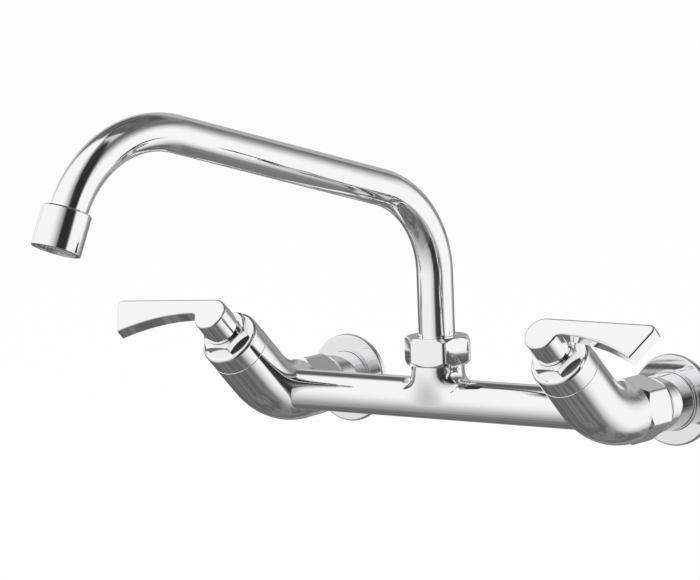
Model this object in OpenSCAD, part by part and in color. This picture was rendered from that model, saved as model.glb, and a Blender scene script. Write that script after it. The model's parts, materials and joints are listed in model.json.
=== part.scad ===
// Wall-mounted two-handle kitchen tap with a swinging spout, polished chrome over brass.
// Origin: midpoint between the two wall inlets, on the wall. X runs along the bar to the
// right, Y into the wall, Z up. The valve and union parts are drawn for the right side and
// mirrored for the left.

/* [Layout] */
// Distance between the two wall inlets
inlet_spacing = 203.2; // [190:0.1:215]
// Distance of the bar's axis beyond the unions' faces
bar_setback = 15.5; // [13:0.1:17.8]
// Height of the bar's axis above the inlets
bar_rise = 3.1; // [1:0.1:5]
// Distance beyond the unions' faces to where the legs' and the valves' axes cross
elbow_tangent = 19.4; // [17.8:0.1:21.8]
// Rise of the valves' axes above level, in degrees
arm_angle = 43.1; // [38:0.1:48]

/* [Bar and boss] */
// Outer radius of the bar
bar_radius = 10.5; // [9.8:0.1:11.5]
// Wall of the bar's tube
bar_wall = 2.5; // [1.5:0.1:3]
// Radius of the boss that carries the spout
boss_radius = 13.5; // [13.3:0.1:15]
// Height of the boss's shoulder above the bar's axis
boss_height = 17.8; // [17:0.1:20]
// Radius of the concave flare at the boss's foot
boss_flare = 12; // [8:0.1:12.5]
// Height above the bar's axis where the flare starts
boss_flare_height = 15.3; // [13:0.1:16]
// Height above the bar's axis where the boss narrows to the bar
boss_neck_height = 9.9; // [8:0.1:11]
// Half length of the boss's foot along the bar
boss_foot_length = 26; // [24:0.1:32]
// Half width of the boss's foot at its ends
boss_foot_width = 8; // [6:0.1:8.5]

/* [Spout joint] */
// Radius of the threaded post inside the spout nut
post_radius = 13.2; // [12.9:0.05:13.3]
// Height of the threaded post above the boss's shoulder
post_height = 8.5; // [7:0.1:10]
// Radius of the socket that the spout's spigot turns in
socket_radius = 10.45; // [10.2:0.05:11]
// Depth of the socket from the post's top
socket_depth = 16.4; // [15.5:0.1:16.8]
// Radius of the water way from the bar up into the socket
riser_bore = 7; // [5:0.1:7.5]
// Thickness of the bearing ring under the spigot's collar
bearing_thickness = 1.5; // [1:0.1:2]
// Thickness of the spigot's collar
collar_thickness = 2.5; // [2:0.1:3.5]
// Radius of the spigot's collar
collar_radius = 12.3; // [11.8:0.1:12.6]
// Thickness of the slip ring between collar and nut
slip_thickness = 0.5; // [0.4:0.1:1]
// Size of the spout nut across its flats
spout_nut_flats = 31; // [30:0.1:34]
// Gap between the boss's shoulder and the spout nut
spout_nut_clearance = 0.5; // [0.3:0.1:1.5]
// Thickness of the spout nut's lip over the collar
spout_nut_lip = 1.7; // [1.2:0.1:2.5]
// Direction of the spout nut's first corner, in degrees
spout_nut_turn = 16.7; // [0:0.1:60]

/* [Spout] */
// Outer radius of the spout tube
spout_radius = 9.25; // [9:0.05:9.4]
// Wall of the spout tube
spout_wall = 1.25; // [0.8:0.05:1.5]
// Height above the inlets where the riser starts to bend
riser_top = 67.6; // [55:0.1:90]
// Radius of the first bend on its centre line
first_bend_radius = 48.4; // [30:0.1:60]
// Turn of the first bend, in degrees
first_bend_angle = 74; // [60:0.1:85]
// Length of the straight run between the bends
run_length = 133.9; // [80:0.1:200]
// Radius of the second bend on its centre line
second_bend_radius = 56.3; // [30:0.1:65]
// Turn of the second bend, in degrees
second_bend_angle = 79; // [60:0.1:90]
// Straight tube that shows above the aerator
tail_length = 1.75; // [1:0.05:20]
// Swing of the spout to the left of straight ahead, in degrees
spout_turn = 11.6; // [-60:0.1:60]

/* [Aerator] */
// Outer radius of the aerator's housing
aerator_radius = 12; // [11.8:0.05:13]
// Length of the aerator's housing
aerator_length = 20; // [18:0.1:24]
// Radius of the thread between the spout's ferrule and the housing
aerator_thread_radius = 10.85; // [10.6:0.05:10.9]
// Length of the ferrule on the spout's end
ferrule_length = 8; // [6:0.1:9]
// Thickness of the aerator's washer
aerator_washer_thickness = 1.5; // [1:0.1:2]
// Thickness of the aerator's screen
screen_thickness = 1.2; // [0.8:0.1:1.5]
// Thickness of the housing's lip under the screen
aerator_lip = 1.5; // [1:0.1:2]

/* [Valve bodies] */
// Outer radius of the valve bodies
body_radius = 15.75; // [15.6:0.05:17]
// Distance of the bodies' union faces from the wall
body_reach = 46.2; // [42:0.1:52]
// Length of the bodies from the axes' crossing to the bonnet
arm_length = 40.2; // [39:0.1:44]
// Radius of the valve chamber
chamber_radius = 9.6; // [9.2:0.1:10]
// Height of the valve seat along the arm
seat_station = 5; // [4.5:0.1:6]
// Radius of the port through the seat
seat_port_radius = 4.5; // [3.5:0.1:5]
// Radius of the water way in the leg
leg_bore = 6; // [5:0.1:6.5]
// Radius of the port from the chamber to the bar
outlet_port_radius = 3.2; // [2.5:0.1:3.5]

/* [Unions] */
// Size of the union nuts across their flats
union_flats = 29.5; // [29.2:0.1:32]
// Length of the union nuts
union_length = 20.5; // [19.5:0.1:21.5]
// Direction of a union nut's first corner, in degrees
union_turn = 39; // [0:0.1:60]
// Thickness of the nuts' back wall, which pulls the tail's collar
union_back = 4.1; // [3:0.1:4.5]
// Outer radius of the union tails
tail_radius = 10; // [9:0.05:10.1]
// Radius of the union tails' collars
tail_collar_radius = 11.9; // [11.5:0.1:12.5]
// Thickness of the union tails' collars
tail_collar_thickness = 3.5; // [2.5:0.1:4]
// Depth of the tails' sockets in the bodies
tail_socket_depth = 6; // [4:0.1:7]
// Thickness of the union washers
union_washer_thickness = 2; // [1.5:0.1:2.5]
// Water way through the union tails and wall connectors
union_bore = 7.5; // [6:0.1:8]

/* [Wall connectors and flanges] */
// Radius of the connectors' union threads
union_thread_radius = 13.2; // [12.8:0.05:13.4]
// Radius of the connectors between nut and wall
connector_radius = 13.6; // [13.4:0.05:14.2]
// Radius of the threaded shanks that screw into the wall
shank_radius = 10.48; // [10:0.01:11]
// Length of the shanks beyond the wall's face
shank_length = 15; // [12:0.1:25]
// Outer radius of the flanges
flange_radius = 23.3; // [22:0.1:30]
// Height of the flanges' flat rims
flange_rim = 2.9; // [2.5:0.1:4]
// Radius of the flanges' cones where they meet the rims
cone_foot_radius = 20.4; // [19:0.1:21]
// Radius of the flanges' cones at their fronts
cone_top_radius = 17.2; // [16.5:0.1:18]
// Distance of the flanges' front faces from the wall
flange_depth = 8.4; // [7:0.1:12]
// Sheet thickness of the flanges
flange_wall = 1.2; // [0.8:0.1:1.5]
// Radius of the rounded edge on the flanges' rims
flange_round = 0.9; // [0.5:0.1:1.2]

/* [Bonnets] */
// Radius of the bonnets' round skirts
skirt_radius = 15.6; // [15:0.05:16.5]
// Length of the bonnets' skirts
skirt_length = 11.4; // [10:0.1:14]
// Radius of the rounded edge on the skirts
skirt_round = 2.2; // [1:0.1:2.4]
// Size of the bonnets' hexagons across their flats
bonnet_flats = 22.5; // [21:0.1:23]
// Height of the bonnets' hexagons
bonnet_hex_length = 5.7; // [4:0.1:8]
// Turn of the left bonnet's hexagon, in degrees
left_bonnet_turn = -4; // [-30:0.1:30]
// Radius of the bonnets' threads in the bodies
bonnet_thread_radius = 11; // [10.9:0.05:12]
// Length of the bonnets' threads
bonnet_thread_length = 8.2; // [6:0.1:9]

/* [Cartridges] */
// Thickness of the seat seals
seat_seal_thickness = 2; // [1.5:0.1:2.5]
// Thickness of each ceramic disc
disc_thickness = 3; // [2.5:0.1:3.5]
// Radius of the fixed ceramic discs
disc_radius = 7.15; // [6.9:0.05:7.4]
// Outer radius of the cartridge housings round the discs
cartridge_radius = 8; // [7.9:0.05:8.3]
// Thickness of the cartridge housings' flanges
cartridge_flange = 2; // [1.5:0.1:3]
// Height of the cartridge housings' necks above their flanges
neck_length = 15; // [13:0.1:15.5]
// Radius of the spindles
spindle_radius = 5; // [4.6:0.05:5.2]
// Thickness of the spindles' drive flanges
drive_thickness = 3; // [2:0.1:4]
// Radius of the spindles' splined ends
spline_radius = 4; // [3.6:0.05:4.2]
// Length of spline inside the lever hubs
spline_length = 9.4; // [7:0.1:11]
// Teeth on the splines
spline_teeth = 16; // [12:1:24]

/* [Levers] */
// Radius of the lever hubs at their tops
hub_radius = 9.04; // [8.8:0.02:10]
// Growth of the hubs' radius towards the bonnets
hub_taper = 0.26; // [0:0.02:0.6]
// Height of the lever hubs
hub_height = 14.4; // [13:0.1:18]
// Thickness of the lever blades
blade_thickness = 7; // [4:0.1:8]
// Distance from the hub's axis to the blade's upper tip
blade_length = 63.6; // [50:0.1:80]
// Height of the upper tip above the hub's axis
tip_upper = 6.7; // [4:0.1:9]
// Distance from the hub's axis to the blade's lower tip
blade_lower_length = 54.3; // [40:0.1:56]
// Drop of the lower tip below the hub's axis
tip_lower = 12.8; // [10:0.1:16]
// Radius of the blade's hollow lower edge
edge_radius = 100; // [80:0.5:200]
// Distance from the hub's axis to where the lower edge levels out
edge_start = 13.6; // [12.5:0.1:15]
// Drop of the lower edge there below the hub's axis
edge_drop = 0.2; // [0:0.1:1]
// Radius of the fillet between hub and lower edge
lever_fillet = 3; // [2:0.1:5]
// Radius of the rounded upper tip
tip_round = 3; // [1:0.1:4]
// Turn of each lever from the bar's line, in degrees
lever_turn = 1.66; // [-5:0.01:5]

/* [Hidden] */
$fn = 48;
// Sides of the small hidden rings and of a seal's section
small_faces = 24;
seal_faces = 8;
tube_faces = 32;
hole_faces = 16;
// Radial clearances: parts that turn, threads, loose parts on moving ones
running_fit = 0.05;
thread_fit = 0.05;
loose_gap = 0.35;
// Axial gaps that let parts turn past each other
turning_gap = 0.3;
nut_gap = 0.2;
// Slack round parts that only sit in their places, and how far a seal stands proud
seat_slack = 0.1;
seal_proud = 0.03;
// How far a cut runs past the face that it opens
overrun = 1;
// Angle of the chamfers on hexagon corners
chamfer_angle = 30;
// Where the rims of the chamfers lie between flat and corner radius
union_front_share = 0.2;
union_back_share = 0.46;
spout_nut_share = 0.35;
bonnet_share = 0.1;
// Where the boss's foot meets its round neck, and where its sides sink into the bar
boss_side_share = 0.98;
boss_waist_share = 0.94;
boss_sink_share = 0.25;

bar_reach = body_reach + bar_setback;
vertex_reach = body_reach + elbow_tangent;
bar_bore = bar_radius - bar_wall;
boss_top = bar_rise + boss_height;
post_top = boss_top + post_height;
socket_floor = post_top - socket_depth;
collar_base = post_top + bearing_thickness;
collar_top = collar_base + collar_thickness;
nut_lip_base = collar_top + slip_thickness;
nut_top = nut_lip_base + spout_nut_lip;
nut_foot = boss_top + spout_nut_clearance;
nut_thread_radius = post_radius + thread_fit;
spigot_radius = socket_radius - running_fit;
ring_radius = post_radius - seat_slack;
spout_bore = spout_radius - spout_wall;
bend_thinning = 0.02;
bend_lap = 0.4;
// Depth of the tube's seat in the spigot, below the collar's top
tube_seat_depth = 13.4;
tube_foot = collar_top - tube_seat_depth;
// The spigot's end gap and the places of its seal grooves above its foot
spigot_gap = 0.5;
spigot_foot = socket_floor + spigot_gap;
spout_seal_radius = 0.75;
spout_groove_width = 1.8;
spout_groove_steps = [1.2, 4.2];
spout_seal_inner = spigot_radius + seal_proud - 2 * spout_seal_radius;

// The aerator, measured down the spout from the housing's top
housing_bore = aerator_thread_radius + thread_fit;
housing_chamfer = 0.8;
housing_edge = 0.4;
housing_lip_radius = 9.8;
ferrule_setback = 0.4;
inside_radius = housing_bore - seat_slack;
insert_top = ferrule_length + aerator_washer_thickness;
screen_base = aerator_length - aerator_lip;
screen_top = screen_base - screen_thickness;
insert_plate = 1.5;
insert_wall = 1.2;
insert_hole_radius = 1;
insert_holes = 8;
insert_ring_radius = 5.6;
mesh_pitch = 3.6;
mesh_bar = 0.7;
mesh_bars = 2;

// Where a valve body bends, and stations along its arm from the axes' crossing
elbow_radius = elbow_tangent / tan(arm_angle / 2);
bar_station = bar_rise * sin(arm_angle) - (vertex_reach - bar_reach) * cos(arm_angle);
bar_offset = bar_rise * cos(arm_angle) + (vertex_reach - bar_reach) * sin(arm_angle);
thread_base = arm_length - bonnet_thread_length;
bonnet_seal_thickness = 1;
flange_top = thread_base - bonnet_seal_thickness;
flange_base = flange_top - cartridge_flange;
neck_top = flange_top + neck_length;
skirt_top = arm_length + skirt_length;
bonnet_top = skirt_top + bonnet_hex_length;
hub_base = bonnet_top + turning_gap;
hub_top = hub_base + hub_height;
blade_base = hub_top - blade_thickness;

// The drilled port from the chamber's side to the bar
port_start_share = 0.65;
port_end_share = 0.3;
port_lift = 4.5;
port_start = [-chamber_radius * port_start_share, bar_offset, seat_station + port_lift];
port_end = [-body_radius - overrun, bar_offset, bar_station + bar_bore * port_end_share];

// The union, measured from the wall outwards
nut_back = body_reach - nut_gap;
nut_front = nut_back - union_length;
collar_back = nut_back - union_back;
collar_front = collar_back - tail_collar_thickness;
connector_face = collar_front - union_washer_thickness;
union_nut_bore = union_thread_radius + thread_fit;
union_washer_radius = 12.5;

// The cartridge
seal_top = seat_station + seat_seal_thickness;
disc_meeting = seal_top + disc_thickness;
disc_top = disc_meeting + disc_thickness;
drive_top = disc_top + drive_thickness;
disc_bore = disc_radius + running_fit;
moving_radius = disc_bore - loose_gap;
disc_port_inner = 2.4;
disc_port_outer = 5.6;
disc_port_angle = 80;
key_width = 3;
key_depth = 1.2;
key_fit = 0.05;
drive_width = 4.6;
sleeve_window = 7;
sleeve_window_height = 2.6;
shoulder_station = 20;
shoulder_radius = chamber_radius - seat_slack;
cartridge_flange_radius = bonnet_thread_radius - seat_slack;
neck_radius = cartridge_radius;
shaft_bore = spindle_radius + running_fit;
shaft_top = bonnet_top - nut_gap;
stem_seal_radius = 0.55;
stem_groove_width = 1.3;
stem_groove_steps = [3, 8];
stem_seal_inner = spindle_radius + seal_proud - 2 * stem_seal_radius;
clip_thickness = 0.9;
clip_depth = 0.8;
clip_width = 2.3;
clip_angle = 300;
clip_base = neck_top + turning_gap;
clip_headroom = 1.3;
bonnet_cavity_top = clip_base + clip_thickness + clip_headroom;
spline_root_share = 0.88;
spline_end_gap = 0.5;

// The set screw in the back of each lever hub
screw_radius = 2;
screw_length = 4.4;
screw_station = 4;
screw_socket_radius = 1.15;
screw_socket_depth = 2;

// The lever's outline, seen along the arm with the blade to the right
edge_faces = 240;
tip_top = [blade_length, tip_upper];
tip_bottom = [blade_lower_length, -tip_lower];
edge_inner = [edge_start, -edge_drop];
edge_chord = tip_bottom - edge_inner;
edge_normal = unit([-edge_chord.y, edge_chord.x]);
edge_depth = sqrt(pow(edge_radius, 2) - pow(norm(edge_chord) / 2, 2));
edge_centre = (tip_bottom + edge_inner) / 2 - edge_normal * edge_depth;
fillet_centre = circles_meet([0, 0], hub_radius + lever_fillet, edge_centre, edge_radius - lever_fillet);
fillet_on_hub = unit(fillet_centre) * hub_radius;
fillet_on_edge = edge_centre + unit(fillet_centre - edge_centre) * edge_radius;

// Colours
chrome = [0.82, 0.84, 0.86];
brass = [0.80, 0.64, 0.34];
ceramic = [0.93, 0.92, 0.88];
rubber = [0.16, 0.16, 0.17];
nylon = [0.90, 0.90, 0.84];
steel = [0.62, 0.63, 0.65];

function unit(v) = v / norm(v);

// The crossing of two circles that lies to the right of the line from centre a to centre b
function circles_meet(a, ra, b, rb) =
    let (
        apart = norm(b - a),
        along = (ra * ra - rb * rb + apart * apart) / (2 * apart),
        aside = sqrt(ra * ra - along * along),
        ahead = unit(b - a)
    )
    a + ahead * along + [-ahead.y, ahead.x] * aside;

// Basic turned shapes, from one height to another along Z
module rod(radius, base, top) translate([0, 0, base]) cylinder(r = radius, h = top - base);

module ring(inner, outer, base, top) difference() {
    rod(outer, base, top);
    rod(inner, base - overrun, top + overrun);
}

module turned(points) rotate_extrude() polygon(points);

module seal_ring(inner, radius, height)
    translate([0, 0, height]) rotate_extrude($fn = small_faces)
        translate([inner + radius, 0]) circle(r = radius, $fn = seal_faces);

// What rounding takes off a profile's outer upper corner
module corner_cut(corner, radius) translate(corner - [radius, radius]) difference() {
    square(radius + overrun);
    circle(r = radius, $fn = small_faces);
}

// A hexagon bar whose corners are chamfered to rims between its flats and its corners
module hexagon(flats, base, top, low_share, high_share) {
    flat = flats / 2;
    corner = flats / sqrt(3);
    low = flat + (corner - flat) * low_share;
    high = flat + (corner - flat) * high_share;
    slope = tan(chamfer_angle);
    intersection() {
        translate([0, 0, base]) cylinder(r = corner, h = top - base, $fn = 6);
        turned([
            [0, base], [low, base], [corner, base + (corner - low) * slope],
            [corner, top - (corner - high) * slope], [high, top], [0, top],
        ]);
    }
}

// A bend of a round path that heads along Z and turns towards X, and what follows the bend
module bend(centre_radius, angle, radius)
    translate([centre_radius, 0, 0]) rotate([90, 0, 180])
        rotate_extrude(angle = angle) translate([centre_radius, 0]) circle(r = radius);

module after_bend(centre_radius, angle)
    translate([centre_radius, 0, 0]) rotate([0, angle, 0])
        translate([-centre_radius, 0, 0]) children();

// Frames: up the riser, along the bar, out from the right wall inlet, along the right arm
module on_riser() translate([0, -bar_reach, 0]) children();

module on_bar() translate([0, -bar_reach, bar_rise]) rotate([0, 90, 0]) children();

module from_wall()
    translate([inlet_spacing / 2, 0, 0]) rotate([90, 0, 0]) rotate([0, 0, 90]) children();

module on_arm()
    translate([inlet_spacing / 2, -vertex_reach, 0]) rotate([90 - arm_angle, 0, 0]) children();

module on_spout() on_riser() rotate([0, 0, -90 - spout_turn]) children();

module on_left() mirror([1, 0, 0]) children();

// The bend of a valve body, drawn back from its arm to the union
module body_bend() on_arm()
    translate([0, 0, elbow_tangent]) rotate([180, 0, 90]) bend(elbow_radius, arm_angle, body_radius);

// The boss: a flared neck, cut to a plan that thins along the bar and to a section that
// narrows from the neck to the bar's own circle
module boss_neck() {
    flare_top = bar_rise + boss_flare_height;
    foot = bar_rise - bar_radius / 2;
    on_riser() rotate_extrude() difference() {
        union() {
            translate([0, foot]) square([boss_radius, boss_top - foot]);
            translate([0, foot]) square([boss_radius + boss_flare, flare_top - foot]);
        }
        translate([boss_radius + boss_flare, flare_top]) circle(r = boss_flare);
    }
}

module boss_plan() {
    tip = [boss_foot_length, boss_foot_width];
    side = [0, boss_radius * boss_side_share];
    translate([0, -bar_reach, bar_rise - bar_radius]) linear_extrude(boss_top + bar_radius) {
        circle(r = boss_radius);
        polygon([[tip.x, -tip.y], tip, side, [-tip.x, tip.y], -tip, -side]);
    }
}

module boss_section() {
    waist = [bar_radius * boss_waist_share, -bar_radius * boss_sink_share];
    reach = boss_foot_length + overrun;
    top = boss_height + overrun;
    translate([-reach, -bar_reach, bar_rise]) rotate([90, 0, 90]) linear_extrude(2 * reach) polygon([
        waist, [boss_radius, boss_neck_height], [boss_radius, top],
        [-boss_radius, top], [-boss_radius, boss_neck_height], [-waist.x, waist.y],
    ]);
}

module body_bar() color(chrome) difference() {
    union() {
        on_bar() rod(bar_radius, -inlet_spacing / 2, inlet_spacing / 2);
        intersection() {
            boss_neck();
            boss_plan();
            boss_section();
        }
        on_riser() rod(post_radius, boss_top - overrun, post_top);
    }
    on_bar() rod(bar_bore, -inlet_spacing, inlet_spacing);
    on_riser() {
        rod(riser_bore, bar_rise, socket_floor + overrun);
        rod(socket_radius, socket_floor, post_top + overrun);
    }
    body_bend();
    on_left() body_bend();
}

module spout_nut() color(chrome) on_riser() rotate([0, 0, spout_nut_turn]) difference() {
    hexagon(spout_nut_flats, nut_foot, nut_top, spout_nut_share, spout_nut_share);
    rod(nut_thread_radius, nut_foot - overrun, nut_lip_base);
    rod(spout_radius + turning_gap, nut_foot, nut_top + overrun);
}

module spout_bearing_ring() color(nylon) on_riser()
    ring(spigot_radius + loose_gap, ring_radius, post_top, collar_base, $fn = small_faces);

module spout_slip_ring() color(nylon) on_riser()
    ring(spout_radius + loose_gap, ring_radius, collar_top, nut_lip_base, $fn = small_faces);

module spout_spigot() color(brass) on_riser() difference() {
    union() {
        rod(spigot_radius, spigot_foot, collar_base + overrun);
        rod(collar_radius, collar_base, collar_top);
    }
    rod(spout_bore, spigot_foot - overrun, collar_top);
    rod(spout_radius, tube_foot, collar_top + overrun);
    for (step = spout_groove_steps)
        ring(spout_seal_inner - seal_proud, socket_radius + overrun,
            spigot_foot + step, spigot_foot + step + spout_groove_width);
}

module spout_o_rings() color(rubber) on_riser() for (step = spout_groove_steps)
    seal_ring(spout_seal_inner, spout_seal_radius, spigot_foot + step + spout_groove_width / 2);

// The spout's path from a height on the riser to a length past the second bend. Bending
// leaves the bends a hair thinner than the straight stretches, which run a little into them.
module spout_path(radius, foot, tail) on_spout() {
    rod(radius, foot, riser_top + bend_lap);
    translate([0, 0, riser_top]) {
        bend(first_bend_radius, first_bend_angle, radius - bend_thinning);
        after_bend(first_bend_radius, first_bend_angle) {
            rod(radius, -bend_lap, run_length + bend_lap);
            translate([0, 0, run_length]) {
                bend(second_bend_radius, second_bend_angle, radius - bend_thinning);
                after_bend(second_bend_radius, second_bend_angle) rod(radius, -bend_lap, tail);
            }
        }
    }
}

module at_aerator() on_spout() translate([0, 0, riser_top])
    after_bend(first_bend_radius, first_bend_angle) translate([0, 0, run_length])
        after_bend(second_bend_radius, second_bend_angle) translate([0, 0, tail_length]) children();

module spout_tube() color(chrome) difference() {
    spout_path(spout_radius, tube_foot, tail_length + ferrule_length, $fn = tube_faces);
    spout_path(spout_bore, tube_foot - overrun, tail_length + ferrule_length + overrun,
        $fn = tube_faces);
}

module spout_ferrule() color(chrome) at_aerator()
    ring(spout_radius, aerator_thread_radius, ferrule_setback, ferrule_length);

module aerator_housing() color(chrome) at_aerator() turned([
    [housing_bore, 0], [aerator_radius - housing_chamfer, 0], [aerator_radius, housing_chamfer],
    [aerator_radius, aerator_length - housing_edge],
    [aerator_radius - housing_edge, aerator_length], [housing_lip_radius, aerator_length],
    [housing_lip_radius, screen_base], [housing_bore, screen_base],
]);

module aerator_washer() color(rubber) at_aerator()
    ring(spout_bore, inside_radius, ferrule_length, insert_top, $fn = small_faces);

module aerator_insert() color(nylon) at_aerator() difference() {
    rod(inside_radius, insert_top, screen_top, $fn = small_faces);
    rod(inside_radius - insert_wall, insert_top + insert_plate, screen_top + overrun, $fn = small_faces);
    for (i = [0:insert_holes - 1]) rotate(i * 360 / insert_holes) translate([insert_ring_radius, 0, 0])
        rod(insert_hole_radius, insert_top - overrun, insert_top + insert_plate + overrun, $fn = hole_faces);
}

module aerator_screen() color(steel) at_aerator() {
    ring(housing_lip_radius, inside_radius, screen_top, screen_base, $fn = small_faces);
    intersection() {
        rod(housing_lip_radius, screen_top, screen_base, $fn = small_faces);
        for (turn = [0, 90], i = [-mesh_bars:mesh_bars]) rotate(turn)
            translate([-inside_radius, i * mesh_pitch - mesh_bar / 2, screen_top])
                cube([2 * inside_radius, mesh_bar, screen_thickness]);
    }
}

// A straight hole between two points that lie in one plane of X and Z
module drilled(start, finish, radius) {
    way = finish - start;
    translate(start) rotate([0, atan2(way.x, way.z), 0]) cylinder(r = radius, h = norm(way));
}

module valve_body() color(chrome) difference() {
    union() {
        body_bend();
        on_arm() rod(body_radius, elbow_tangent, arm_length);
    }
    on_arm() {
        rod(seat_port_radius, -seat_port_radius, seat_station + overrun);
        rod(chamber_radius, seat_station, arm_length);
        rod(bonnet_thread_radius + thread_fit, flange_base, arm_length + overrun);
        drilled(port_start, port_end, outlet_port_radius);
    }
    from_wall() {
        rod(leg_bore, body_reach, vertex_reach - leg_bore / 2);
        rod(tail_radius, body_reach - overrun, body_reach + tail_socket_depth);
    }
}

module union_tail() color(brass) from_wall() difference() {
    union() {
        rod(tail_radius, collar_front, body_reach + tail_socket_depth);
        rod(tail_collar_radius, collar_front, collar_back);
    }
    rod(union_bore, collar_front - overrun, body_reach + tail_socket_depth + overrun);
}

module union_nut() color(chrome) from_wall() rotate([0, 0, union_turn - 90]) difference() {
    hexagon(union_flats, nut_front, nut_back, union_front_share, union_back_share);
    rod(union_nut_bore, nut_front - overrun, collar_back);
    rod(tail_radius + nut_gap, nut_front, nut_back + overrun);
}

module union_washer() color(rubber) from_wall()
    ring(union_bore, union_washer_radius, connector_face, collar_front, $fn = small_faces);

module connector() color(chrome) from_wall() turned([
    [union_bore, -shank_length], [shank_radius, -shank_length], [shank_radius, 0],
    [connector_radius, 0], [connector_radius, nut_front - nut_gap],
    [union_thread_radius, nut_front - nut_gap], [union_thread_radius, connector_face],
    [union_bore, connector_face],
]);

module flange() color(chrome) {
    slope = (cone_foot_radius - cone_top_radius) / (flange_depth - flange_rim);
    cone_wall = flange_wall * sqrt(1 + slope * slope);
    bore = connector_radius + seat_slack;
    from_wall() rotate_extrude() difference() {
        polygon([
            [bore, flange_depth], [cone_top_radius, flange_depth], [cone_foot_radius, flange_rim],
            [flange_radius, flange_rim], [flange_radius, 0], [flange_radius - flange_wall, 0],
            [flange_radius - flange_wall, flange_rim - flange_wall],
            [cone_foot_radius - cone_wall / 2, flange_rim - flange_wall],
            [cone_top_radius - cone_wall / 2, flange_depth - flange_wall],
            [bore, flange_depth - flange_wall],
        ]);
        corner_cut([flange_radius, flange_rim], flange_round);
    }
}

module bonnet(turn) color(chrome) on_arm() difference() {
    union() {
        rod(bonnet_thread_radius, thread_base, arm_length + overrun);
        rotate_extrude() difference() {
            translate([0, arm_length]) square([skirt_radius, skirt_length]);
            corner_cut([skirt_radius, skirt_top], skirt_round);
        }
        rotate([0, 0, turn])
            hexagon(bonnet_flats, arm_length + overrun, bonnet_top, bonnet_share, bonnet_share);
    }
    rod(neck_radius + seat_slack, thread_base - overrun, bonnet_cavity_top);
    rod(spindle_radius + loose_gap, thread_base, bonnet_top + overrun);
}

module bonnet_seal() color(rubber) on_arm()
    ring(neck_radius + seat_slack, cartridge_flange_radius, flange_top, thread_base, $fn = small_faces);

module seat_seal() color(rubber) on_arm()
    ring(seat_port_radius, cartridge_radius - seat_slack, seat_station, seal_top, $fn = small_faces);

// A ceramic disc with two opposite ports
module ceramic_disc(radius, base, turn) difference() {
    rod(radius, base, base + disc_thickness, $fn = small_faces);
    for (side = [0, 180])
        translate([0, 0, base - overrun]) rotate([0, 0, turn + side - disc_port_angle / 2])
            rotate_extrude(angle = disc_port_angle) translate([disc_port_inner, 0])
                square([disc_port_outer - disc_port_inner, disc_thickness + 2 * overrun]);
}

module fixed_disc() color(ceramic) on_arm() ceramic_disc(disc_radius, seal_top, 0);

// A bar through the axis, as the drive key and its slot
module cross_bar(width, reach, base, top)
    translate([-reach, -width / 2, base]) cube([2 * reach, width, top - base]);

module moving_disc() color(ceramic) on_arm() difference() {
    ceramic_disc(moving_radius, disc_meeting, 90);
    cross_bar(key_width, moving_radius + overrun, disc_top - key_depth, disc_top + overrun);
}

module cartridge_housing() color(brass) on_arm() difference() {
    rotate_extrude($fn = small_faces) polygon([
        [disc_bore, seal_top], [cartridge_radius, seal_top], [cartridge_radius, shoulder_station],
        [shoulder_radius, shoulder_station], [shoulder_radius, flange_base],
        [cartridge_flange_radius, flange_base], [cartridge_flange_radius, flange_top],
        [neck_radius, flange_top], [neck_radius, neck_top], [shaft_bore, neck_top],
        [shaft_bore, drive_top + turning_gap], [disc_bore, drive_top + turning_gap],
    ]);
    cross_bar(sleeve_window, cartridge_radius + overrun, disc_top, disc_top + sleeve_window_height);
}

module spline(radius, base, top) translate([0, 0, base]) linear_extrude(top - base) polygon([
    for (i = [0:2 * spline_teeth - 1])
        (i % 2 == 0 ? radius : radius * spline_root_share)
            * [cos(180 * i / spline_teeth), sin(180 * i / spline_teeth)]
]);

module spindle(turn) color(brass) on_arm() {
    difference() {
        rod(spindle_radius, disc_top, shaft_top, $fn = small_faces);
        for (step = stem_groove_steps)
            ring(stem_seal_inner - seal_proud, spindle_radius + overrun,
                flange_top + step, flange_top + step + stem_groove_width, $fn = small_faces);
        ring(spindle_radius - clip_depth, spindle_radius + overrun,
            clip_base, clip_base + clip_thickness, $fn = small_faces);
    }
    intersection() {
        rod(moving_radius, disc_top, drive_top, $fn = small_faces);
        cross_bar(drive_width, moving_radius, disc_top, drive_top);
    }
    intersection() {
        rod(moving_radius - key_fit, disc_top - key_depth, disc_top + overrun, $fn = small_faces);
        cross_bar(key_width - 2 * key_fit, moving_radius, disc_top - key_depth + key_fit, disc_top + overrun);
    }
    rotate([0, 0, turn]) spline(spline_radius, shaft_top - overrun, hub_base + spline_length);
}

module spindle_o_rings() color(rubber) on_arm() for (step = stem_groove_steps)
    seal_ring(stem_seal_inner, stem_seal_radius, flange_top + step + stem_groove_width / 2);

module spindle_clip() color(steel) on_arm() translate([0, 0, clip_base])
    rotate_extrude(angle = clip_angle, $fn = small_faces)
        translate([spindle_radius - clip_depth + key_fit, key_fit])
            square([clip_width, clip_thickness - 2 * key_fit]);

// The lever's outline: a straight back, a rounded upper tip, a hollow lower edge and a fillet
// that leads it into the hub
module tip_cut() {
    back = unit([0, hub_radius] - tip_top);
    end = unit(tip_bottom - tip_top);
    inward = unit(back + end);
    half = acos(back * end) / 2;
    centre = tip_top + inward * tip_round / sin(half);
    difference() {
        polygon([
            tip_top - inward * overrun, tip_top + back * tip_round / tan(half),
            centre, tip_top + end * tip_round / tan(half),
        ]);
        translate(centre) circle(r = tip_round, $fn = edge_faces / 6);
    }
}

module blade_outline() {
    difference() {
        polygon([[0, hub_radius], tip_top, tip_bottom, edge_inner, [0, -edge_drop]]);
        translate(edge_centre) circle(r = edge_radius, $fn = edge_faces);
        tip_cut();
    }
    difference() {
        polygon([[0, 0], fillet_on_hub, fillet_centre, fillet_on_edge, [fillet_on_edge.x, hub_radius / 2]]);
        translate(fillet_centre) circle(r = lever_fillet, $fn = edge_faces / 6);
    }
}

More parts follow.
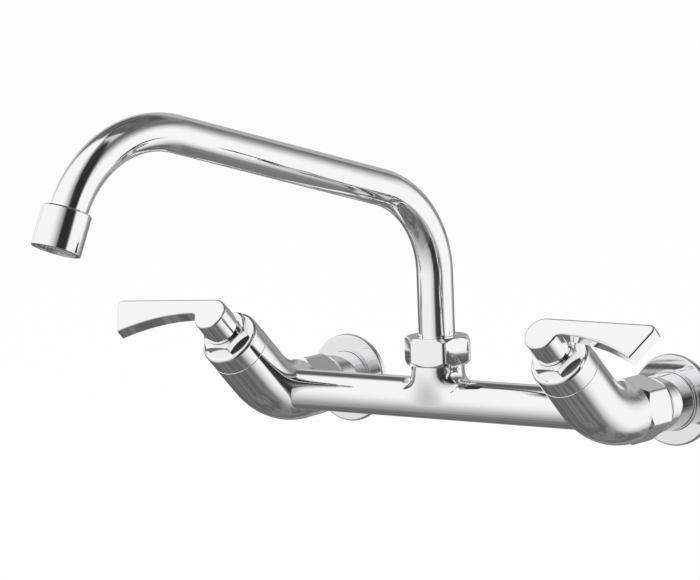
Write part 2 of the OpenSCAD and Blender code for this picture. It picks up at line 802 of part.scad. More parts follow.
module lever(turn) color(chrome) on_arm() rotate([0, 0, turn]) difference() {
    union() {
        turned([[0, hub_base], [hub_radius + hub_taper, hub_base], [hub_radius, hub_top], [0, hub_top]]);
        translate([0, 0, blade_base]) linear_extrude(blade_thickness) blade_outline();
    }
    spline(spline_radius + thread_fit, hub_base - overrun, hub_base + spline_length + spline_end_gap);
    translate([0, 0, hub_base + screw_station]) rotate([-90, 0, 0])
        rod(screw_radius + thread_fit, 0, hub_radius + hub_taper + overrun, $fn = small_faces);
}

module lever_screw(turn) color(steel) on_arm() rotate([0, 0, turn])
    translate([0, spline_radius + thread_fit, hub_base + screw_station]) rotate([-90, 0, 0])
        difference() {
            rod(screw_radius, 0, screw_length, $fn = small_faces);
            translate([0, 0, screw_length - screw_socket_depth])
                cylinder(r = screw_socket_radius, h = screw_socket_depth + overrun, $fn = 6);
        }

module right_valve_body() valve_body();
module right_union_tail() union_tail();
module right_union_nut() union_nut();
module right_union_washer() union_washer();
module right_connector() connector();
module right_flange() flange();
module right_bonnet() bonnet(0);
module right_bonnet_seal() bonnet_seal();
module right_seat_seal() seat_seal();
module right_fixed_disc() fixed_disc();
module right_cartridge_housing() cartridge_housing();
module right_moving_disc() moving_disc();
module right_spindle() spindle(lever_turn);
module right_spindle_o_rings() spindle_o_rings();
module right_spindle_clip() spindle_clip();
module right_lever() lever(lever_turn);
module right_lever_screw() lever_screw(lever_turn);

module left_valve_body() on_left() valve_body();
module left_union_tail() on_left() union_tail();
module left_union_nut() on_left() union_nut();
module left_union_washer() on_left() union_washer();
module left_connector() on_left() connector();
module left_flange() on_left() flange();
module left_bonnet() on_left() bonnet(left_bonnet_turn);
module left_bonnet_seal() on_left() bonnet_seal();
module left_seat_seal() on_left() seat_seal();
module left_fixed_disc() on_left() fixed_disc();
module left_cartridge_housing() on_left() cartridge_housing();
module left_moving_disc() on_left() moving_disc();
module left_spindle() on_left() spindle(-lever_turn);
module left_spindle_o_rings() on_left() spindle_o_rings();
module left_spindle_clip() on_left() spindle_clip();
module left_lever() on_left() lever(-lever_turn);
module left_lever_screw() on_left() lever_screw(-lever_turn);

body_bar();
spout_nut();
spout_bearing_ring();
spout_slip_ring();
spout_spigot();
spout_o_rings();
spout_tube();
spout_ferrule();
aerator_housing();
aerator_washer();
aerator_insert();
aerator_screen();
right_valve_body();
right_union_tail();
right_union_nut();
right_union_washer();
right_connector();
right_flange();
right_bonnet();
right_bonnet_seal();
right_seat_seal();
right_fixed_disc();
right_cartridge_housing();
right_moving_disc();
right_spindle();
right_spindle_o_rings();
right_spindle_clip();
right_lever();
right_lever_screw();
left_valve_body();
left_union_tail();
left_union_nut();
left_union_washer();
left_connector();
left_flange();
left_bonnet();
left_bonnet_seal();
left_seat_seal();
left_fixed_disc();
left_cartridge_housing();
left_moving_disc();
left_spindle();
left_spindle_o_rings();
left_spindle_clip();
left_lever();
left_lever_screw();
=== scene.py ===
# %% [markdown]
# # A wall-mounted kitchen tap in polished chrome
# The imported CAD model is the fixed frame: its bodies, sizes and joints stay as they are.
# This lesson dresses it. Each piece that shows is built again as a finer mesh with rounded
# edges, because polished metal gives away every flat facet and every knife-sharp corner.
# %% Load the frame
import json
import math

import bmesh
import bpy
from mathutils import Matrix, Vector


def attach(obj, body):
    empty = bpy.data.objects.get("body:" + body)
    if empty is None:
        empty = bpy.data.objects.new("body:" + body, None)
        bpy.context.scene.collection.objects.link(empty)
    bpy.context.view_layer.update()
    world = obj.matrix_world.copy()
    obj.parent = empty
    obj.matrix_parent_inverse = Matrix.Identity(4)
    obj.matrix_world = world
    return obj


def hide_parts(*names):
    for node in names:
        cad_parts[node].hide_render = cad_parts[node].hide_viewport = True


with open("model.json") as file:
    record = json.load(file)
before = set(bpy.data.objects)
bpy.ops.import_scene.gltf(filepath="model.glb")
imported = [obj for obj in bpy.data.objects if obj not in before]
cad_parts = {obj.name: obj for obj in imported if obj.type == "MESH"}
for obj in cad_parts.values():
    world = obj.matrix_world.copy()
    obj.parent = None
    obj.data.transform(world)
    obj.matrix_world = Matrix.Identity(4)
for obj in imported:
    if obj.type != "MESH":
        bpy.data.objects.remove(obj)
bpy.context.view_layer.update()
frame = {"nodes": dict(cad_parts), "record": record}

# %% [markdown]
# ## Main sizes
# The pieces are drawn in millimetres, with the same values as the solids, and are turned to
# metres when a mesh is made. The origin is on the wall, midway between the two inlets: X runs
# along the bar, Y into the wall and Z up.
# %% Sizes
MM = 0.001
INLET = 101.6                      # from the middle to each inlet
BAR_REACH, BAR_RISE, BAR_RADIUS = 61.7, 3.1, 10.5
VERTEX_REACH, ARM_ANGLE = 65.6, math.radians(43.1)    # where a valve body bends, and how far
BODY_RADIUS, BODY_REACH, ARM_LENGTH = 15.75, 46.2, 40.2
SIDES = {"right": 1, "left": -1}
print("inlets", 2 * INLET, "mm apart")

# %% [markdown]
# ## Frames
# Every turned piece is drawn upright along its own Z axis and then placed by a matrix. The left
# side is the mirror image of the right one, so its matrix has a mirrored first column.
# %% Frames for the riser, the arms and the wall inlets
def frame_from(x_axis, y_axis, z_axis, origin):
    """A placing matrix from three axes and an origin, all in millimetres."""
    columns = [Vector(x_axis), Vector(y_axis), Vector(z_axis), Vector(origin)]
    return Matrix([[column[row] for column in columns] for row in range(3)] + [[0, 0, 0, 1]])


RISER = Matrix.Translation((0, -BAR_REACH, 0))


def on_arm(side):
    """Along a valve: X outwards, Y up and to the wall, Z up the valve's axis."""
    sine, cosine = math.sin(ARM_ANGLE), math.cos(ARM_ANGLE)
    return frame_from((side, 0, 0), (0, sine, cosine), (0, -cosine, sine),
                      (side * INLET, -VERTEX_REACH, 0))


def from_wall(side):
    """Out of the wall along an inlet: Z is the distance from the wall."""
    return frame_from((0, 0, 1), (-side, 0, 0), (0, -1, 0), (side * INLET, 0, 0))


print("arm axis:", [round(v, 4) for v in on_arm(1).col[2][:3]])

# %% [markdown]
# ## From rows of points to a mesh
# Nearly all of a tap is turned, bent or extruded, so nearly every surface here is a grid: rows
# of points that are joined to the next row. A small class collects grids and flat caps, and a
# function welds them into one closed mesh.
# %% The mesh collector
WELD = 1e-7                        # metres; points nearer than this are one point


class Shell:
    """Points and faces of one piece, in the piece's own frame, in millimetres."""

    def __init__(self):
        self.points, self.faces = [], []

    def grid(self, rows, loop=False):
        """Joins closed rows of points; loop also joins the last row to the first."""
        start, width = len(self.points), len(rows[0])
        for row in rows:
            self.points.extend(row)
        for i in range(len(rows) if loop else len(rows) - 1):
            low, high = start + i * width, start + (i + 1) % len(rows) * width
            for j in range(width):
                k = (j + 1) % width
                self.faces.append((low + j, low + k, high + k, high + j))

    def capped_grid(self, rows):
        """Joins rows of points and closes the first and the last with a flat face."""
        self.grid(rows)
        for row in (rows[0], rows[-1]):
            start = len(self.points)
            self.points.extend(row)
            self.faces.append(tuple(range(start, start + len(row))))


def to_mesh(name, shell, matrix):
    """A closed, outward-facing mesh in metres from a shell that lies in the matrix's frame."""
    work = bmesh.new()
    corners = [work.verts.new((matrix @ Vector(p)) * MM) for p in shell.points]
    for face in shell.faces:
        work.faces.new([corners[i] for i in face])
    bmesh.ops.remove_doubles(work, verts=work.verts, dist=WELD)
    bmesh.ops.dissolve_degenerate(work, edges=work.edges, dist=WELD)
    bmesh.ops.recalc_face_normals(work, faces=work.faces)
    mesh = bpy.data.meshes.new(name)
    work.to_mesh(mesh)
    work.free()
    return mesh


# %% [markdown]
# A new piece shades smooth and breaks only at sharp edges. Its normals are weighted by face
# size: a flat face then shades truly flat, and the whole change of direction falls into the
# narrow rounded edge beside it. Each piece rides on its body and stands for its CAD node.
# %% Finish a mesh as a piece that rides on its body
SHARP = math.radians(50)


def finish_normals(thing):
    """Smooth shading that stays flat on flat faces and breaks only at sharp edges."""
    mesh = thing.data
    work = bmesh.new()
    work.from_mesh(mesh)
    for edge in work.edges:
        edge.smooth = len(edge.link_faces) == 2 and edge.calc_face_angle(0) < SHARP
    for face in work.faces:
        face.smooth = True
    work.to_mesh(mesh)
    work.free()
    weighted = thing.modifiers.new("weighted_normals", "WEIGHTED_NORMAL")
    weighted.keep_sharp = True


def add_piece(name, mesh, body, material, nodes):
    """Puts a mesh into the scene: it rides on a body and stands for its CAD nodes."""
    thing = bpy.data.objects.new(name, mesh)
    bpy.context.scene.collection.objects.link(thing)
    mesh.materials.append(material)
    finish_normals(thing)
    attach(thing, body)
    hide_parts(*nodes)
    print(name, len(mesh.vertices), "points")


# %% [markdown]
# ## Shader maths as plain expressions
# A material here is a few noise patterns that are scaled and added. Wrapping a socket in a
# small class lets the sums be written as sums, and each operator adds its Math node.
# %% The socket wrapper
class Socket:
    """An output socket that adds Math nodes when it is used in an expression."""

    def __init__(self, graph, output):
        self.graph, self.output = graph, output

    def _math(self, operation, *values):
        return self.graph.node("Math", {"operation": operation}, dict(enumerate(values)))

    def __add__(self, other):
        return self._math("ADD", self, other)

    def __radd__(self, other):
        return self._math("ADD", other, self)

    def __sub__(self, other):
        return self._math("SUBTRACT", self, other)

    def __rsub__(self, other):
        return self._math("SUBTRACT", other, self)

    def __mul__(self, other):
        return self._math("MULTIPLY", self, other)

    def __rmul__(self, other):
        return self._math("MULTIPLY", other, self)


class Graph:
    """The node tree of a material or of the world."""

    def __init__(self, tree):
        self.tree = tree
        tree.nodes.clear()

    def node(self, kind, settings=None, inputs=None, output=0):
        """Adds a node: its settings first, then the values or links of its sockets."""
        made = self.tree.nodes.new("ShaderNode" + kind)
        for key, value in (settings or {}).items():
            setattr(made, key, value)
        for key, value in (inputs or {}).items():
            if isinstance(value, Socket):
                self.tree.links.new(value.output, made.inputs[key])
            else:
                made.inputs[key].default_value = value
        return Socket(self, made.outputs[output]) if made.outputs else None


# %% [markdown]
# ## Finishes
# Polished chrome is nearly a mirror, but never a perfect one: the plating lies over a buffed
# casting, so its roughness wanders a little and its surface waves by a few micrometres. Drawn
# tube is straighter than a casting. The flanges' chrome is painted a little greyer: this is
# painted shade, which dims the room that their flat faces mirror.
# The inner pieces are brass, rubber, acetal, ceramic and stainless steel. A plain mirror
# would look like glass, so every finish gets a fine grain and a slow wave from noise.
# %% A helper for all finishes
# The Mix node keeps one set of sockets for each kind of value; these are its colour sockets.
MIX_FACTOR, MIX_A, MIX_B, MIX_RESULT = 0, 6, 7, 2
FINE_DETAIL, SLOW_DETAIL, NOISE_MEAN = 4.0, 2.0, 0.5
FINE_RELIEF = 0.15                 # the grain's share of the relief beside the slow wave


def noise(graph, place, scale, detail):
    """Noise from 0 to 1, with finer patches the larger the scale."""
    return graph.node("TexNoise", {}, {"Vector": place, "Scale": scale, "Detail": detail}, "Fac")


def finish(name, color, metallic, roughness, spread, grain, wave, depth, speckle):
    """A material whose roughness, colour and relief follow noise in the piece's own space."""
    material = bpy.data.materials.new(name)
    material.use_nodes = True
    graph = Graph(material.node_tree)
    place = graph.node("TexCoord", output="Object")
    fine = noise(graph, place, grain, FINE_DETAIL)
    slow = noise(graph, place, wave, SLOW_DETAIL)
    rough = roughness + (fine - NOISE_MEAN) * spread + (slow - NOISE_MEAN) * spread
    worn = [channel * (1 - speckle) for channel in color]
    tone = graph.node("Mix", {"data_type": "RGBA"},
                      {MIX_FACTOR: fine, MIX_A: (*color, 1), MIX_B: (*worn, 1)}, MIX_RESULT)
    relief = graph.node("Bump", {}, {"Height": slow + FINE_RELIEF * fine, "Distance": depth,
                                     "Strength": 1.0}, "Normal")
    surface = graph.node("BsdfPrincipled", {}, {"Base Color": tone, "Metallic": metallic,
                                                "Roughness": rough, "Normal": relief})
    graph.node("OutputMaterial", {}, {"Surface": surface})
    return material


# %% The finishes of this tap
FINISHES = {
    # name: colour, metallic, roughness, its spread, grain and wave per metre, relief in
    # metres, speckle
    "cast_chrome": ((0.93, 0.935, 0.94), 1.0, 0.055, 0.03, 900, 60, 0.00004, 0.01),
    "drawn_chrome": ((0.94, 0.945, 0.95), 1.0, 0.04, 0.02, 900, 35, 0.00002, 0.01),
    # the flanges' chrome: the same chrome painted greyer, as painted shade on what the flat discs
    # mirror
    "pressed_chrome_painted_shade": ((0.84, 0.845, 0.85), 1.0, 0.05, 0.025, 1200, 90, 0.00001, 0.01),
    "turned_chrome": ((0.93, 0.935, 0.94), 1.0, 0.05, 0.025, 1200, 90, 0.00001, 0.01),
    "bare_brass": ((0.80, 0.62, 0.32), 1.0, 0.24, 0.10, 1500, 80, 0.00002, 0.12),
    "black_rubber": ((0.035, 0.035, 0.037), 0.0, 0.62, 0.16, 2500, 150, 0.00004, 0.2),
    "white_acetal": ((0.86, 0.86, 0.80), 0.0, 0.38, 0.10, 1800, 120, 0.00002, 0.06),
    "lapped_ceramic": ((0.88, 0.87, 0.82), 0.0, 0.16, 0.06, 3000, 200, 0.00001, 0.05),
    "stainless_steel": ((0.62, 0.62, 0.64), 1.0, 0.26, 0.10, 2200, 140, 0.00002, 0.08),
}
FINISH = {name: finish(name, *values) for name, values in FINISHES.items()}
print("finishes:", ", ".join(FINISH))

# %% [markdown]
# ## The inner pieces
# Washers, O-rings, discs, spindles and the rest are turned solids that already have their true
# shape. They could be built again as well, but nothing would be gained inside the metal, so
# they stay as the CAD made them and only get their finish.
# %% Dress the nodes that stay
FINISH_OF_SLOT = {
    "polished_chrome": "turned_chrome",
    "bare_brass": "bare_brass",
    "black_rubber": "black_rubber",
    "white_acetal": "white_acetal",
    "alumina_ceramic": "lapped_ceramic",
    "stainless_steel": "stainless_steel",
}
for part in frame["record"]["subparts"]:
    node = frame["nodes"][part["node"]]
    node.data.materials.clear()
    node.data.materials.append(FINISH[FINISH_OF_SLOT[part["material_slot"]]])

# %% [markdown]
# ## Turned pieces
# A turned piece is one closed outline swept round an axis. Real turned edges are broken by a
# tool or by buffing, so each corner of the outline gets a small radius before it is swept: the
# corner is replaced by an arc that touches both of its lines. A bevel of the finished mesh
# would do the same, but the outline costs less and never goes wrong.
# %% Round an outline and sweep it
LINE_SHARE = 0.49                  # the most of a line that one corner's arc may take
SHORTEST_REACH = 1e-4              # a corner with less room stays sharp


def arc_corner(before, corner, after, radius, steps=4):
    """The points of an arc that rounds one corner of an outline."""
    corner = Vector(corner)
    to_before, to_after = Vector(before) - corner, Vector(after) - corner
    turn = to_before.angle(to_after)
    reach = min(radius / math.tan(turn / 2), LINE_SHARE * to_before.length,
                LINE_SHARE * to_after.length)
    if radius <= 0 or reach < SHORTEST_REACH:
        return [tuple(corner)]
    to_before, to_after = to_before.normalized(), to_after.normalized()
    centre = corner + (to_before + to_after).normalized() * reach / math.cos(turn / 2)
    first, last = corner + to_before * reach - centre, corner + to_after * reach - centre
    sweep = first.angle(last)
    points = []
    for i in range(steps + 1):
        share = i / steps
        mix = math.sin((1 - share) * sweep) * first + math.sin(share * sweep) * last
        points.append(tuple(centre + mix / math.sin(sweep)))
    return points


def rounded(outline):
    """An outline of (radius, height, corner radius) with its corners rounded."""
    points = []
    for i, (x, y, radius) in enumerate(outline):
        before, after = outline[i - 1], outline[(i + 1) % len(outline)]
        points += arc_corner(before[:2], (x, y), after[:2], radius)
    return points


def circle(radius, height, around):
    """A level ring of points round Z."""
    turns = [math.tau * j / around for j in range(around)]
    return [(radius * math.cos(turn), radius * math.sin(turn), height) for turn in turns]


def lathe(shell, outline, around=96):
    """Sweeps a closed outline round Z."""
    shell.grid([circle(radius, height, around) for radius, height in rounded(outline)], loop=True)


# %% [markdown]
# ## Hexagons
# A nut's corners are chamfered by a cone, which leaves the curved lines at the top of each
# flat. A boolean of a prism and a cone would leave edges that can't be rounded evenly. Here
# every direction round the nut gets its own outline: the distance to the hexagon (itself a
# little rounded at its corners), cut by the chamfer, with a small edge radius. Where the
# chamfer runs out, its two edge arcs simply share one centre.
# %% The outline of a hexagon in one direction
EDGE_STEPS = 3                     # stretches in each arc of a nut's edge


def hexagon_reach(flat, angle, corner_round):
    """Distance from the axis to a rounded hexagon's side, with a corner at angle 0."""
    off = abs((angle + math.pi / 6) % (math.pi / 3) - math.pi / 6)
    off_flat = math.pi / 6 - off
    tangent = math.atan((flat - corner_round) * math.tan(math.pi / 6) / flat)
    if off_flat <= tangent:
        return flat / math.cos(off_flat)
    centre = (flat - corner_round) / math.cos(math.pi / 6)
    return centre * math.cos(off) + math.sqrt(corner_round ** 2 - (centre * math.sin(off)) ** 2)


def chamfered_edge(reach, level, rim, up, edge, chamfer):
    """The side-to-end corner of a nut in one direction: two arcs, with the chamfer between."""
    slope = math.tan(math.radians(chamfer))
    side, end = reach - edge, level - up * edge
    lift = edge / math.cos(math.radians(chamfer))
    chamfer_at_side = level - up * ((side - rim) * slope + lift)
    if (chamfer_at_side - end) * up < 0:
        first = (side, chamfer_at_side)
        second = (rim + (level - end) * up / slope - lift / slope, end)
    else:
        first = second = (side, end)
    points = []
    for centre, start, stop in ((first, 0, 90 - chamfer), (second, 90 - chamfer, 90)):
        for i in range(EDGE_STEPS + 1):
            turn = math.radians(start + (stop - start) * i / EDGE_STEPS)
            points.append((centre[0] + edge * math.cos(turn),
                           centre[1] + up * edge * math.sin(turn)))
    return points


# %% A chamfered hexagon with a bore
FLAT_STEPS, CORNER_STEPS = 6, 5
BORE_EASE = ((0.5, 0.0), (0.2, 0.1), (0.0, 0.5))    # the bore's broken edge: wider, deeper


def hex_nut(shell, flats, base, top, rims, bore, turn, edge=0.3, corner_round=0.6, chamfer=30):
    """A hexagon with a bore; its first corner is at turn, its chamfers begin at the rims."""
    flat = flats / 2
    tangent = math.atan((flat - corner_round) * math.tan(math.pi / 6) / flat)
    rest = math.pi / 6 - tangent
    half = [tangent * i / FLAT_STEPS for i in range(FLAT_STEPS + 1)]
    half += [tangent + rest * i / CORNER_STEPS for i in range(1, CORNER_STEPS + 1)]
    offs = sorted(set([-h for h in half[:-1]] + half))
    columns = []
    for side in range(6):
        for off in offs:
            angle = math.pi / 6 + side * math.pi / 3 + off
            reach = hexagon_reach(flat, angle, corner_round)
            outline = chamfered_edge(reach, base, rims[0], -1, edge, chamfer)[::-1]
            outline += chamfered_edge(reach, top, rims[1], 1, edge, chamfer)
            outline += [(bore + wide, top - deep) for wide, deep in BORE_EASE]
            outline += [(bore + wide, base + deep) for wide, deep in reversed(BORE_EASE)]
            cosine, sine = math.cos(angle + turn), math.sin(angle + turn)
            columns.append([(r * cosine, r * sine, z) for r, z in outline])
    shell.grid(columns, loop=True)


# %% [markdown]
# ## Bent tube
# A bent tube is a circle carried along straight stretches and arcs in one plane. A curve
# object with a bevel would do it too, but its circles may twist and its ends stay sharp. Each
# station on the path here gives a centre and the two directions that its circle lies in, so
# the circle never twists, and a few smaller circles round and close an end.
# %% Sweep circles along stations
TUBE_SIDES, END_STEPS, END_SHARE = 96, 4, 0.6


def ring_at(station, radius):
    """A circle at a station: (centre, in-plane direction, side direction)."""
    centre, across, aside = station
    turns = [math.tau * j / TUBE_SIDES for j in range(TUBE_SIDES)]
    return [tuple(centre + across * (radius * math.cos(turn)) + aside * (radius * math.sin(turn)))
            for turn in turns]


def plane_path(start, moves, plane_x, plane_z, step):
    """Stations from plane_z along straight ("run", length) and ("bend", radius, angle) moves."""
    aside = plane_x.cross(plane_z)
    (x, z), heading = start, 0.0
    stations = []

    def add():
        centre = plane_x * x + plane_z * z
        across = plane_x * math.cos(heading) - plane_z * math.sin(heading)
        stations.append((centre, across, aside))

    add()
    for move in moves:
        if move[0] == "run":
            x, z = x + move[1] * math.sin(heading), z + move[1] * math.cos(heading)
            add()
            continue
        radius, angle = move[1], move[2]
        count = math.ceil(abs(angle) / step)
        turn = angle / count
        chord = 2 * radius * math.sin(abs(turn) / 2)
        for _ in range(count):
            x += chord * math.sin(heading + turn / 2)
            z += chord * math.cos(heading + turn / 2)
            heading += turn
            add()
    return stations


def push(station, distance):
    """The station moved along its tube by a distance."""
    centre, across, aside = station
    return (centre + aside.cross(across) * distance, across, aside)


def rounded_end(station, radius, edge, outward):
    """Rings that round a tube's end and lead inwards; outward is 1 or -1 along the tube."""
    rings = []
    for i in range(END_STEPS + 1):
        turn = math.pi / 2 * i / END_STEPS
        rings.append((push(station, -outward * edge * (1 - math.sin(turn))),
                      radius - edge * (1 - math.cos(turn))))
    return rings + [(station, radius * END_SHARE)]


# %% [markdown]
# ## The crossbar and its boss
# The bar is a plain tube. The boss that carries the spout grows out of it in one smooth hollow
# sweep. A union of cylinders would leave hard creases, so the boss is lofted: from each point
# of the round neck a curve leaves straight down and lands on the bar, where it already runs
# along the bar's skin. Its feet reach furthest along the bar's shoulders.
# %% Points on the bar and curves down the boss
BOSS_RADIUS, BOSS_BORE, BOSS_TOP, BOSS_NECK = 13.5, 9.0, 20.9, 18.4
FOOT_ALONG = (21.6, -4.6)          # the foot's reach along the bar, and its third harmonic
FOOT_ROUND = (87.6, -16.9)         # the same round the bar, in degrees
FOOT_SINK, FOOT_STEP = 0.01, 0.02
NECK_PULL, FOOT_PULL, CURVE_STEPS = 0.38, 0.42, 28


def on_bar_skin(along, around, lift=0.0):
    """A point on the bar: distance along it and angle from its top."""
    reach = BAR_RADIUS + lift
    return Vector((along, reach * math.sin(around), BAR_RISE + reach * math.cos(around)))


def boss_foot(turn, push_out=0.0):
    """Where the boss's skin lands on the bar, for one direction round the riser."""
    grow = 1 + push_out
    along = FOOT_ALONG[0] * math.cos(turn) + FOOT_ALONG[1] * math.cos(3 * turn)
    around = FOOT_ROUND[0] * math.sin(turn) + FOOT_ROUND[1] * math.sin(3 * turn)
    return on_bar_skin(along * grow, math.radians(around) * grow, -FOOT_SINK)


def boss_curve(turn):
    """From the neck straight down and out onto the bar's skin."""
    neck = Vector((BOSS_RADIUS * math.cos(turn), BOSS_RADIUS * math.sin(turn), BOSS_NECK))
    foot = boss_foot(turn)
    landing = (boss_foot(turn, FOOT_STEP) - boss_foot(turn, -FOOT_STEP)).normalized()
    span = (foot - neck).length
    controls = [neck, neck - Vector((0, 0, span * NECK_PULL)),
                foot - landing * span * FOOT_PULL, foot]
    curve = []
    for i in range(CURVE_STEPS + 1):
        t = i / CURVE_STEPS
        weights = ((1 - t) ** 3, 3 * t * (1 - t) ** 2, 3 * t * t * (1 - t), t ** 3)
        curve.append(sum((w * c for w, c in zip(weights, controls)), Vector((0, 0, 0))))
    return curve


# %% Loft the boss onto the bar
BAR_SETBACK, BAR_STEPS, BOSS_SIDES = 12.5, 40, 144    # the bar ends inside the valve bodies
BOSS_EDGE = ((0.4, 0.0), (0.15, 0.06), (0.0, 0.35))   # the rounded rim: inwards, down


def crossbar():
    """The bar's tube and the boss on it, in the riser's frame."""
    shell = Shell()
    end = INLET - BAR_SETBACK
    turns = [math.tau * j / TUBE_SIDES for j in range(TUBE_SIDES)]
    places = [-end + 2 * end * i / BAR_STEPS for i in range(BAR_STEPS + 1)]
    shell.capped_grid([[tuple(on_bar_skin(along, turn)) for turn in turns] for along in places])
    rows = [circle(BOSS_BORE, BOSS_TOP, BOSS_SIDES)]
    rows += [circle(BOSS_RADIUS - inwards, BOSS_TOP - down, BOSS_SIDES)
             for inwards, down in BOSS_EDGE]
    curves = [boss_curve(math.tau * j / BOSS_SIDES) for j in range(BOSS_SIDES)]
    rows += [[tuple(curve[i]) for curve in curves] for i in range(CURVE_STEPS + 1)]
    shell.capped_grid(rows)
    return shell


add_piece("crossbar", to_mesh("crossbar", crossbar(), RISER), "faucet_body",
          FINISH["cast_chrome"], ["body_bar"])

# %% [markdown]
# ## Valve bodies
# Each valve body is a casting: a thick round arm that leaves the union level and bends up to
# the bonnet. Two cylinders would meet in a crease, so the body is one circle carried round one
# bend, with softly broken ends.
# %% Sweep the valve bodies
ELBOW_TANGENT = VERTEX_REACH - BODY_REACH
ELBOW_RADIUS = ELBOW_TANGENT / math.tan(ARM_ANGLE / 2)
BODY_STEP, BODY_START = math.radians(1.5), 0.001
BACK_EASE, FRONT_EASE = 0.5, 0.3


def valve_body(side):
    """One bent body in the world's axes."""
    shell = Shell()
    outwards, upwards = Vector((0, -1, 0)), Vector((0, 0, 1))
    moves = [("run", BODY_START), ("bend", ELBOW_RADIUS, ARM_ANGLE),
             ("run", ARM_LENGTH - ELBOW_TANGENT)]
    stations = plane_path((0, BODY_REACH), moves, upwards, outwards, BODY_STEP)
    rings = rounded_end(stations[0], BODY_RADIUS, BACK_EASE, -1)[::-1]
    rings += [(station, BODY_RADIUS) for station in stations[1:-1]]
    rings += rounded_end(stations[-1], BODY_RADIUS, FRONT_EASE, 1)
    shell.capped_grid([ring_at(station, radius) for station, radius in rings])
    return to_mesh("valve_body", shell, Matrix.Translation((side * INLET, 0, 0)))


for name, side in SIDES.items():
    add_piece(f"{name}_valve_casting", valve_body(side), "faucet_body",
              FINISH["cast_chrome"], [f"{name}_valve_body"])

# %% [markdown]
# ## Bonnets
# The bonnet closes the valve. Its round skirt carries on the line of the body, with a hair of
# a seam between them. Its upper edge is generously rounded, and a smaller hexagon takes the
# spanner. Real bonnets stop wherever their thread stops, so the left one stands turned a bit.
# %% Turn the bonnets
SKIRT_RADIUS, SKIRT_BORE, SKIRT_TOP, SEAM = 15.6, 7.0, 51.6, 0.02
SKIRT_SHOULDER, SKIRT_EASE = 2.2, 0.25
BONNET_FLATS, BONNET_TOP, BONNET_SINK, STEM_BORE = 22.5, 57.3, 1.5, 5.4
BONNET_RIMS = (11.3, 11.42)
BONNET_TURN = {"right": 0.0, "left": math.radians(-4)}
for name, side in SIDES.items():
    shell = Shell()
    seat = ARM_LENGTH + SEAM
    lathe(shell, [(SKIRT_BORE, seat, 0), (SKIRT_RADIUS, seat, SKIRT_EASE),
                  (SKIRT_RADIUS, SKIRT_TOP, SKIRT_SHOULDER), (SKIRT_BORE, SKIRT_TOP, 0)])
    hex_nut(shell, BONNET_FLATS, SKIRT_TOP - BONNET_SINK, BONNET_TOP, BONNET_RIMS, STEM_BORE,
            BONNET_TURN[name])
    add_piece(f"{name}_bonnet_nut", to_mesh("bonnet", shell, on_arm(side)), "faucet_body",
              FINISH["turned_chrome"], [f"{name}_bonnet"])

# %% [markdown]
# ## Union nuts
# The union nuts pull the valve bodies onto the wall connectors. Both ends are chamfered
# steeply, and buffing has rounded the corners. A collar inside the body's end pulls the union
# tail. It is a second turned ring here, because the hexagon's bore runs straight through.
# %% Cut the union nuts
UNION_WALL_END, UNION_BODY_END, UNION_FLATS, UNION_BORE = 25.5, 46.0, 29.5, 13.25
UNION_TURN, UNION_EDGE, UNION_CORNER, UNION_CHAMFER = math.radians(39 - 90), 0.5, 2.4, 48
UNION_RIMS = (UNION_FLATS / 2 - 0.2, UNION_FLATS / 2 - 0.5)
COLLAR_BORE, COLLAR_RADIUS, COLLAR_LENGTH = 10.2, 14.0, 4.1
COLLAR_GAP, COLLAR_EASE = 0.05, 0.4
for name, side in SIDES.items():
    shell = Shell()
    hex_nut(shell, UNION_FLATS, UNION_WALL_END, UNION_BODY_END, UNION_RIMS, UNION_BORE,
            UNION_TURN, UNION_EDGE, UNION_CORNER, UNION_CHAMFER)
    low, high = UNION_BODY_END - COLLAR_LENGTH, UNION_BODY_END - COLLAR_GAP
    lathe(shell, [(COLLAR_BORE, low, 0), (COLLAR_RADIUS, low, 0), (COLLAR_RADIUS, high, 0),
                  (COLLAR_BORE, high, COLLAR_EASE)])
    add_piece(f"{name}_union_hexagon", to_mesh("union_nut", shell, from_wall(side)),
              "faucet_body", FINISH["turned_chrome"], [f"{name}_union_nut"])

# %% [markdown]
# ## Wall connectors
# The wall end of each connector is a half-inch pipe thread. A screwed coil could be laid over
# the shank, but a thread is a grid too: its radius depends on how far a point is along the
# helix, so the rows wind round the shank. In front of the wall the neck carries the flange,
# and a narrow groove keeps it apart from the union nut.
# %% Wall connectors with a real helical thread
SHANK_RADIUS, SHANK_END, WATER_WAY = 10.48, -15.0, 7.5
THREAD_PITCH, THREAD_DEPTH, THREAD_LENGTH = 1.814, 1.0, 14.4
THREAD_START, THREAD_STOP, LEAD_IN, LEAD_OUT, END_BREAK = 0.2, -0.3, 1.6, 0.9, 0.1
CREST_SLOPE, CREST_FLAT = 1.25, 0.125
CONNECTOR_SIDES, THREAD_LEVELS = 72, 110
# radius and distance from the wall: the neck's foot, its groove at the nut, the hidden tail
NECK = [(13.0, -0.02), (13.3, 0.0), (14.4, 0.1), (14.5, 0.4),
        (14.5, 23.4), (14.4, 23.6), (13.2, 24.0), (13.15, 34.0)]


def thread_radius(height, angle):
    """Crest, flank or root of a pipe thread with flattened crests and roots."""
    phase = (height / THREAD_PITCH - angle / math.tau) % 1
    wave = abs(2 * phase - 1)
    return SHANK_RADIUS - THREAD_DEPTH * min(1, max(0, CREST_SLOPE * wave - CREST_FLAT))


